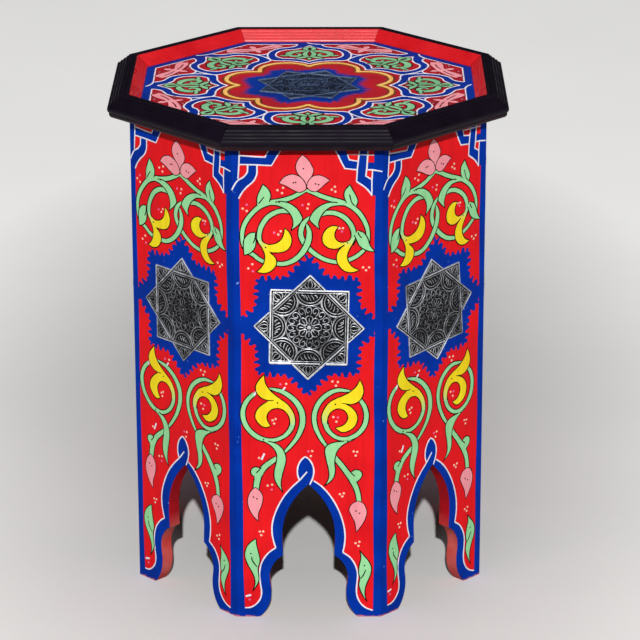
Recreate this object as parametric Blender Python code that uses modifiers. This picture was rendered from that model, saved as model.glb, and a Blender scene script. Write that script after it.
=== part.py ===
"""Octagonal painted accent table with a framed tray top.

Eight mitred side panels with arched feet carry the top: a board framed by eight
mitred mouldings. Glue blocks stiffen the corners inside, cleats and screws hold the
board down, and a stamped metal star is fixed on each panel and on the tray.
Metres, +Z up. The origin is on the floor under the middle of the table, and the
front panel faces -Y.
"""

import math

import bmesh
import bpy
from mathutils import Matrix
from mathutils.geometry import interpolate_bezier

# Carcass
SIDES = 8
TABLE_HEIGHT = 0.530
BODY_ACROSS_FLATS = 0.3612
PANEL_THICKNESS = 0.015
FIT_GAP = 0.0003

# Arched opening in the foot of each panel: rises from the floor up, and half widths
FLARE_HALF_WIDTH = 0.0505
WAIST_RISE = 0.028
WAIST_HALF_WIDTH = 0.0386
LOBE_RISE = 0.018
LOBE_HALF_WIDTH = 0.0402
CUSP_RISE = 0.023
CUSP_HALF_WIDTH = 0.0264
BULGE_RISE = 0.023
BULGE_HALF_WIDTH = 0.0270
CROWN_RISE = 0.056
ARCH_STEPS = 7

# Handles of the arch's curves, as shares of the stretch they belong to: upright ones, then (across, up)
ROUND_PULL = 0.45
FLOOR_PULL = (0.5, 0.2)
CUSP_PULL = (0.48, 0.15)
CROWN_PULL = (0.52, 0.22)

# Tray top: a board under a frame of mitred moulding
TRAY_DEPTH = 0.012
BOARD_THICKNESS = 0.0095
LIP_COVER = 0.0107
SLOPE_FOOT = 0.0012
SLOPE_RUN = 0.0106
LEDGE_WIDTH = 0.0091
QUIRK_DROP = 0.0014
REED_COUNT = 2
REED_RUN = 0.0129
REED_DROP = 0.0106
REED_SWELL = 0.0009
FASCIA_BEAD_COUNT = 2
FASCIA_HEIGHT = 0.0095
FASCIA_TUCK = 0.0035
FASCIA_SWELL = 0.0007
BEAD_STEPS = 4

# Hidden joinery
BLOCK_LEG = 0.022
BLOCK_LENGTH = 0.240
BLOCK_TOP_CLEARANCE = 0.004
CLEAT_WIDTH = 0.018
CLEAT_HEIGHT = 0.018
CLEAT_END_CLEARANCE = 0.004
SCREW_SHANK_RADIUS = 0.00175
SCREW_HEAD_RADIUS = 0.0035
SCREW_HEAD_HEIGHT = 0.0022
SCREW_HEAD_WALL = 0.0011
SCREW_HEAD_FLAT_RADIUS = 0.0021
SCREW_TIP = 0.002
SCREW_COVER = 0.0035
SCREW_FACETS = 12
SMOOTH_ANGLE = math.radians(35)

# Stamped star plaques, one on each panel and one on the tray
STAR_POINTS = 8
STAR_TIP_RADIUS = 0.056
STAR_THICKNESS = 0.0014
STAR_BORDER = 0.0030
STAR_DISH = 0.0005
STAR_CENTRE_HEIGHT = 0.3195
STAR_TILTS_DEG = (-1.0, 5.0, -2.0, 3.0, 0.0, -3.0, 2.0, 0.0)
TRAY_STAR_TILT_DEG = 26.0

# Values worked out from the sizes above
STEP_ANGLE = 2 * math.pi / SIDES
MITRE_ANGLE = STEP_ANGLE / 2
BODY_APOTHEM = BODY_ACROSS_FLATS / 2
INNER_APOTHEM = BODY_APOTHEM - PANEL_THICKNESS
TRAY_FLOOR = TABLE_HEIGHT - TRAY_DEPTH
BOARD_BOTTOM = TRAY_FLOOR - BOARD_THICKNESS
PANEL_HEIGHT = BOARD_BOTTOM - FIT_GAP
CLEAT_BOTTOM = PANEL_HEIGHT - CLEAT_HEIGHT
CLEAT_APOTHEM = INNER_APOTHEM - FIT_GAP - CLEAT_WIDTH / 2
STAND_UP = Matrix.Rotation(math.pi / 2, 4, "X")
WELD_DISTANCE = 0.000001
FACING_FRONT = 0.9


def clear_scene():
    for old in list(bpy.data.objects):
        bpy.data.objects.remove(old)


def new_collection(name):
    made = bpy.data.collections.new(name)
    bpy.context.scene.collection.children.link(made)
    return made


def new_material(name, colour, roughness, metallic):
    material = bpy.data.materials.new(name)
    material.use_nodes = True
    shader = material.node_tree.nodes["Principled BSDF"]
    shader.inputs["Base Color"].default_value = (*colour, 1.0)
    shader.inputs["Roughness"].default_value = roughness
    shader.inputs["Metallic"].default_value = metallic
    return material


clear_scene()
PARTS = new_collection("accent_table")
CUTTERS = new_collection("cutters")
ORIGIN = bpy.data.objects.new("table_origin", None)
PARTS.objects.link(ORIGIN)

PANEL_PAINT = new_material("panel_paint", (0.75, 0.018, 0.022), 0.35, 0.0)
RIM_PAINT = new_material("rim_paint", (0.012, 0.012, 0.014), 0.32, 0.0)
TRAY_PAINT = new_material("tray_paint", (0.36, 0.014, 0.02), 0.3, 0.0)
RAW_WOOD = new_material("raw_wood", (0.42, 0.26, 0.14), 0.7, 0.0)
STAR_METAL = new_material("star_metal", (0.45, 0.45, 0.44), 0.35, 1.0)
SCREW_STEEL = new_material("screw_steel", (0.5, 0.48, 0.44), 0.4, 1.0)


def half_width(apothem):
    """Half the length of an octagon side at this apothem, short of the mitre by half the fit gap."""
    return apothem * math.tan(MITRE_ANGLE) - FIT_GAP / 2 / math.cos(MITRE_ANGLE)


def turned(index):
    """The turn that takes the front side to side number index."""
    return Matrix.Rotation(index * STEP_ANGLE, 4, "Z")


def weld(mesh):
    """Close the loose caps of a mesh and point its faces out."""
    work = bmesh.new()
    work.from_mesh(mesh)
    bmesh.ops.remove_doubles(work, verts=work.verts, dist=WELD_DISTANCE)
    bmesh.ops.recalc_face_normals(work, faces=work.faces)
    work.to_mesh(mesh)
    work.free()


def evaluated_mesh(holder):
    """A plain mesh of an object with its modifiers applied."""
    bpy.context.view_layer.update()
    graph = bpy.context.evaluated_depsgraph_get()
    return bpy.data.meshes.new_from_object(holder.evaluated_get(graph))


def flat_solid(name, outline, thickness):
    """Fill a closed outline of (x, y) points and give it thickness about its own plane."""
    curve = bpy.data.curves.new(name, "CURVE")
    curve.dimensions = "2D"
    curve.fill_mode = "BOTH"
    curve.extrude = thickness / 2
    spline = curve.splines.new("POLY")
    spline.points.add(len(outline) - 1)
    for point, (x, y) in zip(spline.points, outline):
        point.co = (x, y, 0, 1)
    spline.use_cyclic_u = True
    holder = bpy.data.objects.new(name, curve)
    PARTS.objects.link(holder)
    mesh = evaluated_mesh(holder)
    bpy.data.objects.remove(holder)
    bpy.data.curves.remove(curve)
    weld(mesh)
    mesh.name = name
    return mesh


def place(name, mesh, material, matrix=Matrix.Identity(4)):
    """One named part of the table from a mesh, a finish and a place."""
    part = bpy.data.objects.new(name, mesh)
    PARTS.objects.link(part)
    part.parent = ORIGIN
    part.matrix_world = matrix
    if not mesh.materials:
        mesh.materials.append(material)
    return part


def place_around(name, mesh, material, turns):
    """A copy of the front piece on each turn round the table, numbered from 1."""
    for number, turn in enumerate(turns, start=1):
        place(f"{name}_{number}", mesh, material, turn)


def drill(name, mesh, holes):
    """Cut round holes, given as (x, y, bottom, top), out of a mesh."""
    cutter_mesh = bpy.data.meshes.new(name + "_holes")
    work = bmesh.new()
    radius = SCREW_SHANK_RADIUS + FIT_GAP
    for x, y, bottom, top in holes:
        centre = Matrix.Translation((x, y, (bottom + top) / 2))
        bmesh.ops.create_cone(
            work,
            cap_ends=True,
            segments=SCREW_FACETS,
            radius1=radius,
            radius2=radius,
            depth=top - bottom,
            matrix=centre,
        )
    work.to_mesh(cutter_mesh)
    work.free()
    cutter = bpy.data.objects.new(name + "_holes", cutter_mesh)
    CUTTERS.objects.link(cutter)
    cutter.hide_render = True
    cutter.display_type = "WIRE"
    holder = bpy.data.objects.new(name + "_blank", mesh)
    PARTS.objects.link(holder)
    cut = holder.modifiers.new("holes", "BOOLEAN")
    cut.operation = "DIFFERENCE"
    cut.solver = "EXACT"
    cut.object = cutter
    drilled = evaluated_mesh(holder)
    bpy.data.objects.remove(holder)
    drilled.name = name
    return drilled


def arch_side():
    """Right side of the arched opening as (x, z) points, from the floor up to the crown."""
    waist = WAIST_RISE
    lobe = waist + LOBE_RISE
    cusp = lobe + CUSP_RISE
    bulge = cusp + BULGE_RISE
    crown = bulge + CROWN_RISE
    stretches = (
        (
            (FLARE_HALF_WIDTH, 0),
            (
                FLARE_HALF_WIDTH - (FLARE_HALF_WIDTH - WAIST_HALF_WIDTH) * FLOOR_PULL[0],
                WAIST_RISE * FLOOR_PULL[1],
            ),
            (WAIST_HALF_WIDTH, waist - WAIST_RISE * ROUND_PULL),
            (WAIST_HALF_WIDTH, waist),
        ),
        (
            (WAIST_HALF_WIDTH, waist),
            (WAIST_HALF_WIDTH, waist + LOBE_RISE * ROUND_PULL),
            (LOBE_HALF_WIDTH, lobe - LOBE_RISE * ROUND_PULL),
            (LOBE_HALF_WIDTH, lobe),
        ),
        (
            (LOBE_HALF_WIDTH, lobe),
            (LOBE_HALF_WIDTH, lobe + CUSP_RISE * ROUND_PULL),
            (
                CUSP_HALF_WIDTH + (LOBE_HALF_WIDTH - CUSP_HALF_WIDTH) * CUSP_PULL[0],
                cusp - CUSP_RISE * CUSP_PULL[1],
            ),
            (CUSP_HALF_WIDTH, cusp),
        ),
        (
            (CUSP_HALF_WIDTH, cusp),
            (CUSP_HALF_WIDTH, cusp + BULGE_RISE * ROUND_PULL),
            (BULGE_HALF_WIDTH, bulge - BULGE_RISE * ROUND_PULL),
            (BULGE_HALF_WIDTH, bulge),
        ),
        (
            (BULGE_HALF_WIDTH, bulge),
            (BULGE_HALF_WIDTH, bulge + CROWN_RISE * ROUND_PULL),
            (BULGE_HALF_WIDTH * CROWN_PULL[0], crown - CROWN_RISE * CROWN_PULL[1]),
            (0, crown),
        ),
    )
    points = []
    for start, leave, arrive, end in stretches:
        piece = interpolate_bezier(
            (*start, 0), (*leave, 0), (*arrive, 0), (*end, 0), ARCH_STEPS
        )
        points += [(point.x, point.y) for point in piece[:-1]]
    return points + [(0, crown)]


def make_panels():
    """Side panels: a board with an arched foot, its long edges mitred to meet the next panel."""
    right = arch_side()
    left = [(-x, z) for x, z in reversed(right[:-1])]
    edge = half_width(BODY_APOTHEM)
    outline = right + left
    outline += [(-edge, 0), (-edge, PANEL_HEIGHT), (edge, PANEL_HEIGHT), (edge, 0)]
    mesh = flat_solid("side_panel", outline, PANEL_THICKNESS)
    mesh.transform(STAND_UP)
    mesh.transform(Matrix.Translation((0, -BODY_APOTHEM + PANEL_THICKNESS / 2, 0)))
    for vertex in mesh.vertices:
        if abs(vertex.co.x) > edge - FIT_GAP:
            vertex.co.x = math.copysign(half_width(-vertex.co.y), vertex.co.x)
    place_around("side_panel", mesh, PANEL_PAINT, [turned(i) for i in range(SIDES)])


def beads(start, end, count, swell):
    """A run of rounded beads from start to end as (apothem, z) points, bulging to the left of travel."""
    run = end[0] - start[0]
    rise = end[1] - start[1]
    length = math.hypot(run, rise)
    points = []
    for step in range(count * BEAD_STEPS):
        share = step / (count * BEAD_STEPS)
        bulge = swell * abs(math.sin(math.pi * count * share))
        points.append(
            (
                start[0] + run * share - rise / length * bulge,
                start[1] + rise * share + run / length * bulge,
            )
        )
    return points


def make_rim():
    """Frame mouldings: a sloped inner lip, a flat ledge, two reeds and a beaded fascia."""
    seat = TRAY_FLOOR + FIT_GAP
    lip = BODY_APOTHEM - LIP_COVER
    arris = lip + SLOPE_RUN
    ledge_edge = arris + LEDGE_WIDTH
    widest = ledge_edge + REED_RUN
    reed_top = TABLE_HEIGHT - QUIRK_DROP
    fascia_top = reed_top - REED_DROP
    bottom = fascia_top - FASCIA_HEIGHT
    back = BODY_APOTHEM + FIT_GAP
    profile = [(lip, seat), (lip, seat + SLOPE_FOOT), (arris, TABLE_HEIGHT)]
    profile += [(ledge_edge, TABLE_HEIGHT)]
    profile += beads((ledge_edge, reed_top), (widest, fascia_top), REED_COUNT, REED_SWELL)
    profile += beads(
        (widest, fascia_top), (widest - FASCIA_TUCK, bottom), FASCIA_BEAD_COUNT, FASCIA_SWELL
    )
    profile += [(widest - FASCIA_TUCK, bottom), (back, bottom), (back, seat)]
    mesh = flat_solid("rim_moulding", profile, BODY_ACROSS_FLATS)
    lay_along_side = Matrix(((0, 0, -1, 0), (-1, 0, 0, 0), (0, 1, 0, 0), (0, 0, 0, 1)))
    mesh.transform(lay_along_side)
    for vertex in mesh.vertices:
        vertex.co.x = math.copysign(half_width(-vertex.co.y), vertex.co.x)
    place_around("rim_moulding", mesh, RIM_PAINT, [turned(i) for i in range(SIDES)])
    print("rim across flats", round(2 * widest, 4), "rim bottom", round(bottom, 4))


def screw_places():
    """Where the screws stand, under the middle of each cleat."""
    return [turned(i) @ Matrix.Translation((0, -CLEAT_APOTHEM, 0)) for i in range(SIDES)]


def make_board():
    """Tray board, with a blind hole in its underside for each screw."""
    radius = BODY_APOTHEM / math.cos(MITRE_ANGLE)
    corners = [MITRE_ANGLE + i * STEP_ANGLE for i in range(SIDES)]
    outline = [(radius * math.cos(a), radius * math.sin(a)) for a in corners]
    mesh = flat_solid("top_board", outline, BOARD_THICKNESS)
    mesh.transform(Matrix.Translation((0, 0, TRAY_FLOOR - BOARD_THICKNESS / 2)))
    hole_top = TRAY_FLOOR - SCREW_COVER + FIT_GAP
    holes = []
    for spot in screw_places():
        holes.append((*spot.translation.xy, BOARD_BOTTOM - BOARD_THICKNESS, hole_top))
    place("top_board", drill("top_board", mesh, holes), TRAY_PAINT)


def make_cleats():
    """Cleats under the board, glued to the panels, each drilled for its screw."""
    length = 2 * (half_width(CLEAT_APOTHEM - CLEAT_WIDTH / 2) - CLEAT_END_CLEARANCE)
    mesh = bpy.data.meshes.new("top_cleat")
    work = bmesh.new()
    bmesh.ops.create_cube(work, size=1)
    bmesh.ops.scale(work, vec=(length, CLEAT_WIDTH, CLEAT_HEIGHT), verts=work.verts)
    centre = (0, -CLEAT_APOTHEM, CLEAT_BOTTOM + CLEAT_HEIGHT / 2)
    bmesh.ops.translate(work, vec=centre, verts=work.verts)
    work.to_mesh(mesh)
    work.free()
    hole = (0, -CLEAT_APOTHEM, CLEAT_BOTTOM - CLEAT_HEIGHT, PANEL_HEIGHT + CLEAT_HEIGHT)
    drilled = drill("top_cleat", mesh, [hole])
    place_around("top_cleat", drilled, RAW_WOOD, [turned(i) for i in range(SIDES)])


def make_screws():
    """Screws driven up through the cleats into the board, turned from a profile."""
    head_top = CLEAT_BOTTOM - FIT_GAP
    tip = TRAY_FLOOR - SCREW_COVER
    profile = (
        (0, tip),
        (SCREW_SHANK_RADIUS, tip - SCREW_TIP),
        (SCREW_SHANK_RADIUS, head_top),
        (SCREW_HEAD_RADIUS, head_top),
        (SCREW_HEAD_RADIUS, head_top - SCREW_HEAD_WALL),
        (SCREW_HEAD_FLAT_RADIUS, head_top - SCREW_HEAD_HEIGHT),
        (0, head_top - SCREW_HEAD_HEIGHT),
    )
    line = bpy.data.meshes.new("screw_profile")
    work = bmesh.new()
    points = [work.verts.new((x, 0, z)) for x, z in profile]
    for first, second in zip(points, points[1:]):
        work.edges.new((first, second))
    work.to_mesh(line)
    work.free()
    holder = bpy.data.objects.new("screw_blank", line)
    PARTS.objects.link(holder)
    turn = holder.modifiers.new("turn", "SCREW")
    turn.steps = SCREW_FACETS
    turn.render_steps = SCREW_FACETS
    turn.use_merge_vertices = True
    turn.merge_threshold = WELD_DISTANCE
    mesh = evaluated_mesh(holder)
    bpy.data.objects.remove(holder)
    weld(mesh)
    mesh.shade_smooth()
    mesh.set_sharp_from_angle(angle=SMOOTH_ANGLE)
    place_around("cleat_screw", mesh, SCREW_STEEL, screw_places())


def make_blocks():
    """Three-sided glue blocks in the inner corners, below the cleats."""
    top = CLEAT_BOTTOM - BLOCK_TOP_CLEARANCE
    corner = (INNER_APOTHEM - FIT_GAP) / math.cos(MITRE_ANGLE)
    back_off = BLOCK_LEG * math.sin(MITRE_ANGLE)
    spread = BLOCK_LEG * math.cos(MITRE_ANGLE)
    outline = [(0, -corner), (spread, -corner + back_off), (-spread, -corner + back_off)]
    mesh = flat_solid("corner_block", outline, BLOCK_LENGTH)
    mesh.transform(Matrix.Translation((0, 0, top - BLOCK_LENGTH / 2)))
    corners = [Matrix.Rotation((i + 0.5) * STEP_ANGLE, 4, "Z") for i in range(SIDES)]
    place_around("corner_block", mesh, RAW_WOOD, corners)


def make_stars():
    """Star plaques of two crossed squares, stamped so that the field lies below a raised border."""
    square_side = STAR_TIP_RADIUS * math.cos(math.pi / 4)
    notch_radius = square_side / math.cos(math.pi / STAR_POINTS)
    outline = []
    for step in range(2 * STAR_POINTS):
        radius = notch_radius if step % 2 else STAR_TIP_RADIUS
        angle = step * math.pi / STAR_POINTS
        outline.append((radius * math.cos(angle), radius * math.sin(angle)))
    mesh = flat_solid("star", outline, STAR_THICKNESS)
    mesh.transform(Matrix.Translation((0, 0, STAR_THICKNESS / 2)))
    work = bmesh.new()
    work.from_mesh(mesh)
    front = [face for face in work.faces if face.normal.z > FACING_FRONT]
    bmesh.ops.inset_region(work, faces=front, thickness=STAR_BORDER, depth=0)
    field = {vertex for face in front for vertex in face.verts}
    bmesh.ops.translate(work, vec=(0, 0, -STAR_DISH), verts=list(field))
    work.to_mesh(mesh)
    work.free()
    on_panel = Matrix.Translation((0, -BODY_APOTHEM - FIT_GAP, STAR_CENTRE_HEIGHT)) @ STAND_UP
    spots = []
    for index, tilt in enumerate(STAR_TILTS_DEG):
        spots.append(turned(index) @ on_panel @ Matrix.Rotation(math.radians(tilt), 4, "Z"))
    place_around("side_star", mesh, STAR_METAL, spots)
    on_tray = Matrix.Translation((0, 0, TRAY_FLOOR + FIT_GAP))
    tilt = Matrix.Rotation(math.radians(TRAY_STAR_TILT_DEG), 4, "Z")
    place("tray_star", mesh, STAR_METAL, on_tray @ tilt)


make_panels()
make_rim()
make_board()
make_cleats()
make_screws()
make_blocks()
make_stars()
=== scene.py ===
# %% [markdown]
# # A painted octagonal table
# The table is a carcass of eight mitred boards with arched feet, under a tray framed by a reeded
# moulding. Every face carries brush-painted arabesques and a stamped metal star. The solid model gives
# the sizes; this lesson adds what the eye sees: soft edges, layers of enamel, stampings and wear.
# Loading the solid model first gives one shared set of axes, in metres, with the floor at zero.

# %% Load the solid model
import math

import bmesh
import bpy
from mathutils import Matrix, Vector
from mathutils.geometry import interpolate_bezier


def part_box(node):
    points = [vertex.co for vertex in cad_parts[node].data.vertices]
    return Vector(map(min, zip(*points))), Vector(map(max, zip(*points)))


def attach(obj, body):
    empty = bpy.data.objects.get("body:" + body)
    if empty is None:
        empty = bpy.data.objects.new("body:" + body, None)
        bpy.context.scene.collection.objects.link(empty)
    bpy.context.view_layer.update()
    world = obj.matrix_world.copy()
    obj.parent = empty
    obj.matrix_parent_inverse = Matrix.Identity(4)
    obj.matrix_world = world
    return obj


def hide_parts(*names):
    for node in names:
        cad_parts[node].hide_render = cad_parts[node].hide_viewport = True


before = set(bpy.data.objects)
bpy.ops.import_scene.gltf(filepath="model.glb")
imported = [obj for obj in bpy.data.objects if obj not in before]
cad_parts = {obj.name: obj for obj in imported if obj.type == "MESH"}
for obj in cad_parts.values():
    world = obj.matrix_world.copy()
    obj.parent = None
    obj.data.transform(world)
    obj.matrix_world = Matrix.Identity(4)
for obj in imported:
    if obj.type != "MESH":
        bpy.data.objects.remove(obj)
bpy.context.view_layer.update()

# %% [markdown]
# ## Sizes
# A few sizes drive the rest. They are read from the solid model where a node shows them, so the finish
# stays on the wood if the model is packed again. Drawings of the painting are in millimetres, because a
# hand that paints a panel 150 mm wide thinks in millimetres, and MM turns them into metres.

# %% Sizes read from the model
MM = 0.001
SIDES = 8
STEP_ANGLE = 2 * math.pi / SIDES
MITRE_ANGLE = STEP_ANGLE / 2
FIT_GAP = 0.0003

panel_low, panel_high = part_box("side_panel_1")
board_low, board_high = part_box("top_board")
rim_low, rim_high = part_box("rim_moulding_1")
FACE = -panel_low.y
PANEL_TOP = panel_high.z
PANEL_DEPTH = panel_high.y - panel_low.y
TRAY_FLOOR = board_high.z
TABLE_TOP = rim_high.z
RIM_BOTTOM = rim_low.z


def half_width(apothem):
    """Half the length of an octagon side, short of the mitre by half the fit gap."""
    return apothem * math.tan(MITRE_ANGLE) - FIT_GAP / 2 / math.cos(MITRE_ANGLE)


def turned(index):
    """The turn that takes the front side to side number index."""
    return Matrix.Rotation(index * STEP_ANGLE, 4, "Z")


print("panel face at", round(FACE, 4), "tray floor at", round(TRAY_FLOOR, 4))

# %% [markdown]
# ## Camera
# The photograph looks down on the table from the front with a long lens. The place, the tilts and the
# focal length come from fitting the corners of the rim and the feet. A camera in Blender looks along its
# own -Z, so a quarter turn about X makes it look level, and the pitch takes that down again.

# %% Camera of the photograph
CAMERA_PLACE = (0.02722, -3.23646, 1.43936)
CAMERA_PITCH = math.radians(20.0113)
CAMERA_YAW = math.radians(0.2831)
CAMERA_ROLL = math.radians(-0.125)
PHOTO_SIZE = 640
FOCAL_PIXELS = 3254.59
SENSOR = 36.0


def to_scene(name, data):
    """A new object in the scene."""
    made = bpy.data.objects.new(name, data)
    bpy.context.scene.collection.objects.link(made)
    return made


def make_camera():
    """The scene's camera, where the photographer stood."""
    data = bpy.data.cameras.new("photo_camera")
    data.sensor_width = SENSOR
    data.sensor_fit = "HORIZONTAL"
    data.lens = FOCAL_PIXELS / PHOTO_SIZE * SENSOR
    camera = to_scene("photo_camera", data)
    look = Matrix.Rotation(math.pi / 2 - CAMERA_PITCH, 4, "X") @ Matrix.Rotation(CAMERA_ROLL, 4, "Z")
    camera.matrix_world = Matrix.Translation(CAMERA_PLACE) @ Matrix.Rotation(CAMERA_YAW, 4, "Z") @ look
    bpy.context.scene.camera = camera
    return data.lens


print("camera lens", round(make_camera(), 1), "mm")

# %% [markdown]
# ## Building node trees
# Finishes and Geometry Nodes are both trees of nodes. One helper adds a node, sets its properties and
# feeds its inputs, either with a value or with a wire from another node. Colours are written as on a
# paint chart, 0 to 255, and turned into the linear light that Blender works in. A noise gives values of
# about 0.3 to 0.7, so that is the usual span to stretch over two tones.

# %% Helpers for nodes and colours
NOISE_SPAN = (0.3, 0.7)


def feed(tree, made, feeds):
    """Give a node its inputs; feeds are (input, value or output socket)."""
    for slot, value in feeds:
        if isinstance(value, bpy.types.NodeSocket):
            tree.links.new(value, made.inputs[slot])
        else:
            made.inputs[slot].default_value = value


def node(tree, kind, feeds=(), **settings):
    """Add a node, set its properties and feed its inputs."""
    made = tree.nodes.new(kind)
    for setting, value in settings.items():
        setattr(made, setting, value)
    feed(tree, made, feeds)
    return made


def sums(tree, operation, first, second):
    """One step of arithmetic with two numbers."""
    return node(tree, "ShaderNodeMath", [(0, first), (1, second)], operation=operation).outputs[0]


def vector_sums(tree, operation, first, second):
    """One step of arithmetic with two vectors."""
    return node(tree, "ShaderNodeVectorMath", [(0, first), (1, second)], operation=operation).outputs[0]


def chart(red, green, blue):
    """Linear colour of a paint-chart colour."""
    linear = []
    for share in (red / 255, green / 255, blue / 255):
        linear.append(((share + 0.055) / 1.055) ** 2.4 if share > 0.04 else share / 12.92)
    return (*linear, 1.0)


def grey(share):
    """A grey that lets through a share of the light."""
    return (share, share, share, 1.0)


def new_finish(name):
    """An empty material, its tree, its shader and the coordinates of the piece."""
    finish = bpy.data.materials.new(name)
    finish.use_nodes = True
    tree = finish.node_tree
    place = node(tree, "ShaderNodeTexCoord").outputs["Object"]
    return finish, tree, tree.nodes["Principled BSDF"], place


def coat(tree, shader, tone, roughness, shine=0.5):
    """Give a finish its colour, its roughness and how strongly it mirrors."""
    feed(tree, shader, [("Base Color", tone), ("Roughness", roughness), ("Specular IOR Level", shine)])


def noise(tree, place, scale, detail=2.0, stretch=(1, 1, 1)):
    """A noise value on the piece, stretched along its axes."""
    spread = node(tree, "ShaderNodeMapping", [("Vector", place), ("Scale", stretch)])
    feeds = [("Vector", spread.outputs[0]), ("Scale", scale), ("Detail", detail)]
    return node(tree, "ShaderNodeTexNoise", feeds).outputs["Fac"]


def ramp(tree, factor, first, second, span):
    """The colours between two, as a factor goes through its span."""
    made = node(tree, "ShaderNodeValToRGB", [("Fac", factor)])
    for element, place, colour in zip(made.color_ramp.elements, span, (first, second)):
        element.position = place
        element.color = colour
    return made.outputs["Color"]


def two_tones(tree, factor, shade, colour, span=(0.3, 0.62)):
    """The tones between two colours of the paint chart."""
    return ramp(tree, factor, chart(*shade), chart(*colour), span)


def mask(tree, factor, span, most=1.0):
    """How much of a second colour shows: none at the start of the span, most at its end."""
    return ramp(tree, factor, grey(0.0), grey(most), span)


def blend(tree, factor, first, second, kind="MIX"):
    """Mix two colours by a factor."""
    feeds = [(0, factor), (6, first), (7, second)]
    return node(tree, "ShaderNodeMix", feeds, data_type="RGBA", blend_type=kind).outputs[2]


def between(tree, value, low, high, span=NOISE_SPAN):
    """Take a value from its span to low and high."""
    feeds = [("Value", value), (1, span[0]), (2, span[1]), (3, low), (4, high)]
    return node(tree, "ShaderNodeMapRange", feeds).outputs["Result"]


def height_of(tree, place):
    """The height above the floor."""
    return node(tree, "ShaderNodeSeparateXYZ", [("Vector", place)]).outputs["Z"]


def bump(tree, shader, height, distance):
    """Tilt the light on a surface as fine relief of that height would."""
    relief = node(tree, "ShaderNodeBump", [("Height", height), ("Distance", distance)])
    feed(tree, shader, [("Normal", relief.outputs["Normal"])])


print("node helpers ready")

# %% [markdown]
# ## Floor and light
# The table stood in low, frontal sun: the light through the front arch falls on the ground inside, and
# its far end tells that the sun was about 29 degrees up. A small lamp behind the camera at that height
# lights the front panel fully, its neighbours less, and throws the rim's shadow on the panels. Wide lamps
# overhead, behind and at both sides fill in, and light linking keeps them off the floor, so the shadows
# in the arches stay deep. The floor looks pale to the camera but sends back less light, as the dark
# ground did. Outside the long shape of the shadow it glows a little, again for the camera only, so it
# looks even although the key lamp falls off.

# %% Floor, lamp and sky
FLOOR_REACH = 14.0
FLOOR_BOUNCE = (0.18, 0.18, 0.17, 1.0)
FLOOR_ROUGHNESS = 0.9
SHADOW_MIDDLE = (0.0, 0.35, 0.0)
SHADOW_SHAPE = (2.2, 1.0, 1.0)
GLOW_SPAN = (0.42, 1.25)
FLOOR_GLOW = 0.5
LAMP_AIM = (0.0, 0.0, 0.3)
SKY_COLOUR = (0.93, 0.96, 1.0, 1.0)
SKY_STRENGTH = 0.05
# Each lamp has a place, a size in metres and a power in watts.
KEY_LAMP = ((0.1, -9.2, 5.3), 0.2, 1000.0)
TOP_LAMP = ((0.0, -0.35, 3.0), 2.0, 18.5)
FILL_LAMPS = {
    "back_lamp": ((0.0, 3.2, 1.15), 2.0, 58.0),
    "left_lamp": ((-3.0, -1.0, 1.3), 2.0, 18.0),
    "right_lamp": ((3.0, -1.0, 1.3), 2.0, 18.0),
}


def mesh_from(work, name, *finishes):
    """Close a mesh under construction and give it its finishes."""
    mesh = bpy.data.meshes.new(name)
    work.to_mesh(mesh)
    work.free()
    for finish in finishes:
        mesh.materials.append(finish)
    return mesh


def floor_finish():
    """Pale to the camera, darker to the light that bounces, and glowing a little off the shadow."""
    finish, tree, shader, place = new_finish("pale_floor")
    tint = two_tones(tree, noise(tree, place, 3.0, 4.0), (242, 241, 239), (250, 249, 247), NOISE_SPAN)
    path = node(tree, "ShaderNodeLightPath").outputs
    seen = path["Is Camera Ray"]
    for other in ("Is Glossy Ray", "Is Transmission Ray"):
        seen = sums(tree, "MAXIMUM", seen, path[other])
    shaped = vector_sums(tree, "MULTIPLY", place, SHADOW_SHAPE)
    feeds = [(0, shaped), (1, SHADOW_MIDDLE)]
    away = node(tree, "ShaderNodeVectorMath", feeds, operation="DISTANCE").outputs["Value"]
    glow = sums(tree, "MULTIPLY", between(tree, away, 0.0, FLOOR_GLOW, GLOW_SPAN), seen)
    coat(tree, shader, blend(tree, seen, FLOOR_BOUNCE, tint), FLOOR_ROUGHNESS)
    feed(tree, shader, [("Emission Color", chart(238, 237, 235)), ("Emission Strength", glow)])
    return finish


def make_floor():
    """A wide disc that is stage, not part of the table."""
    work = bmesh.new()
    bmesh.ops.create_circle(work, cap_ends=True, segments=64, radius=FLOOR_REACH)
    floor = to_scene("floor", mesh_from(work, "floor", floor_finish()))
    return floor


def make_lamp(name, place, size, power):
    """A round lamp that looks at the middle of the table."""
    data = bpy.data.lights.new(name, "AREA")
    data.shape = "DISK"
    data.size = size
    data.energy = power
    lamp = to_scene(name, data)
    lamp.location = place
    lamp.rotation_euler = (Vector(LAMP_AIM) - Vector(place)).to_track_quat("-Z", "Y").to_euler()
    return lamp


def spare_floor(lamp, floor):
    """Keep a fill lamp's light off the floor, so the table's shadow stays deep."""
    spared = bpy.data.collections.new("spared_by_" + lamp.name)
    spared.objects.link(floor)
    spared.collection_objects[0].light_linking.link_state = "EXCLUDE"
    lamp.light_linking.receiver_collection = spared


def make_light(floor):
    """One lamp for the sun, four that fill in, and a faint sky."""
    make_lamp("key_lamp", *KEY_LAMP)
    spare_floor(make_lamp("top_lamp", *TOP_LAMP), floor)
    for name, values in FILL_LAMPS.items():
        lamp = make_lamp(name, *values)
        lamp.visible_glossy = False
        spare_floor(lamp, floor)
    sky = bpy.data.worlds.new("pale_sky")
    sky.use_nodes = True
    feeds = [("Color", SKY_COLOUR), ("Strength", SKY_STRENGTH)]
    feed(sky.node_tree, sky.node_tree.nodes["Background"], feeds)
    bpy.context.scene.world = sky


make_light(make_floor())
bpy.context.scene.view_settings.view_transform = "Standard"
print("stage ready, fill lamps:", len(FILL_LAMPS) + 1)

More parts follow.
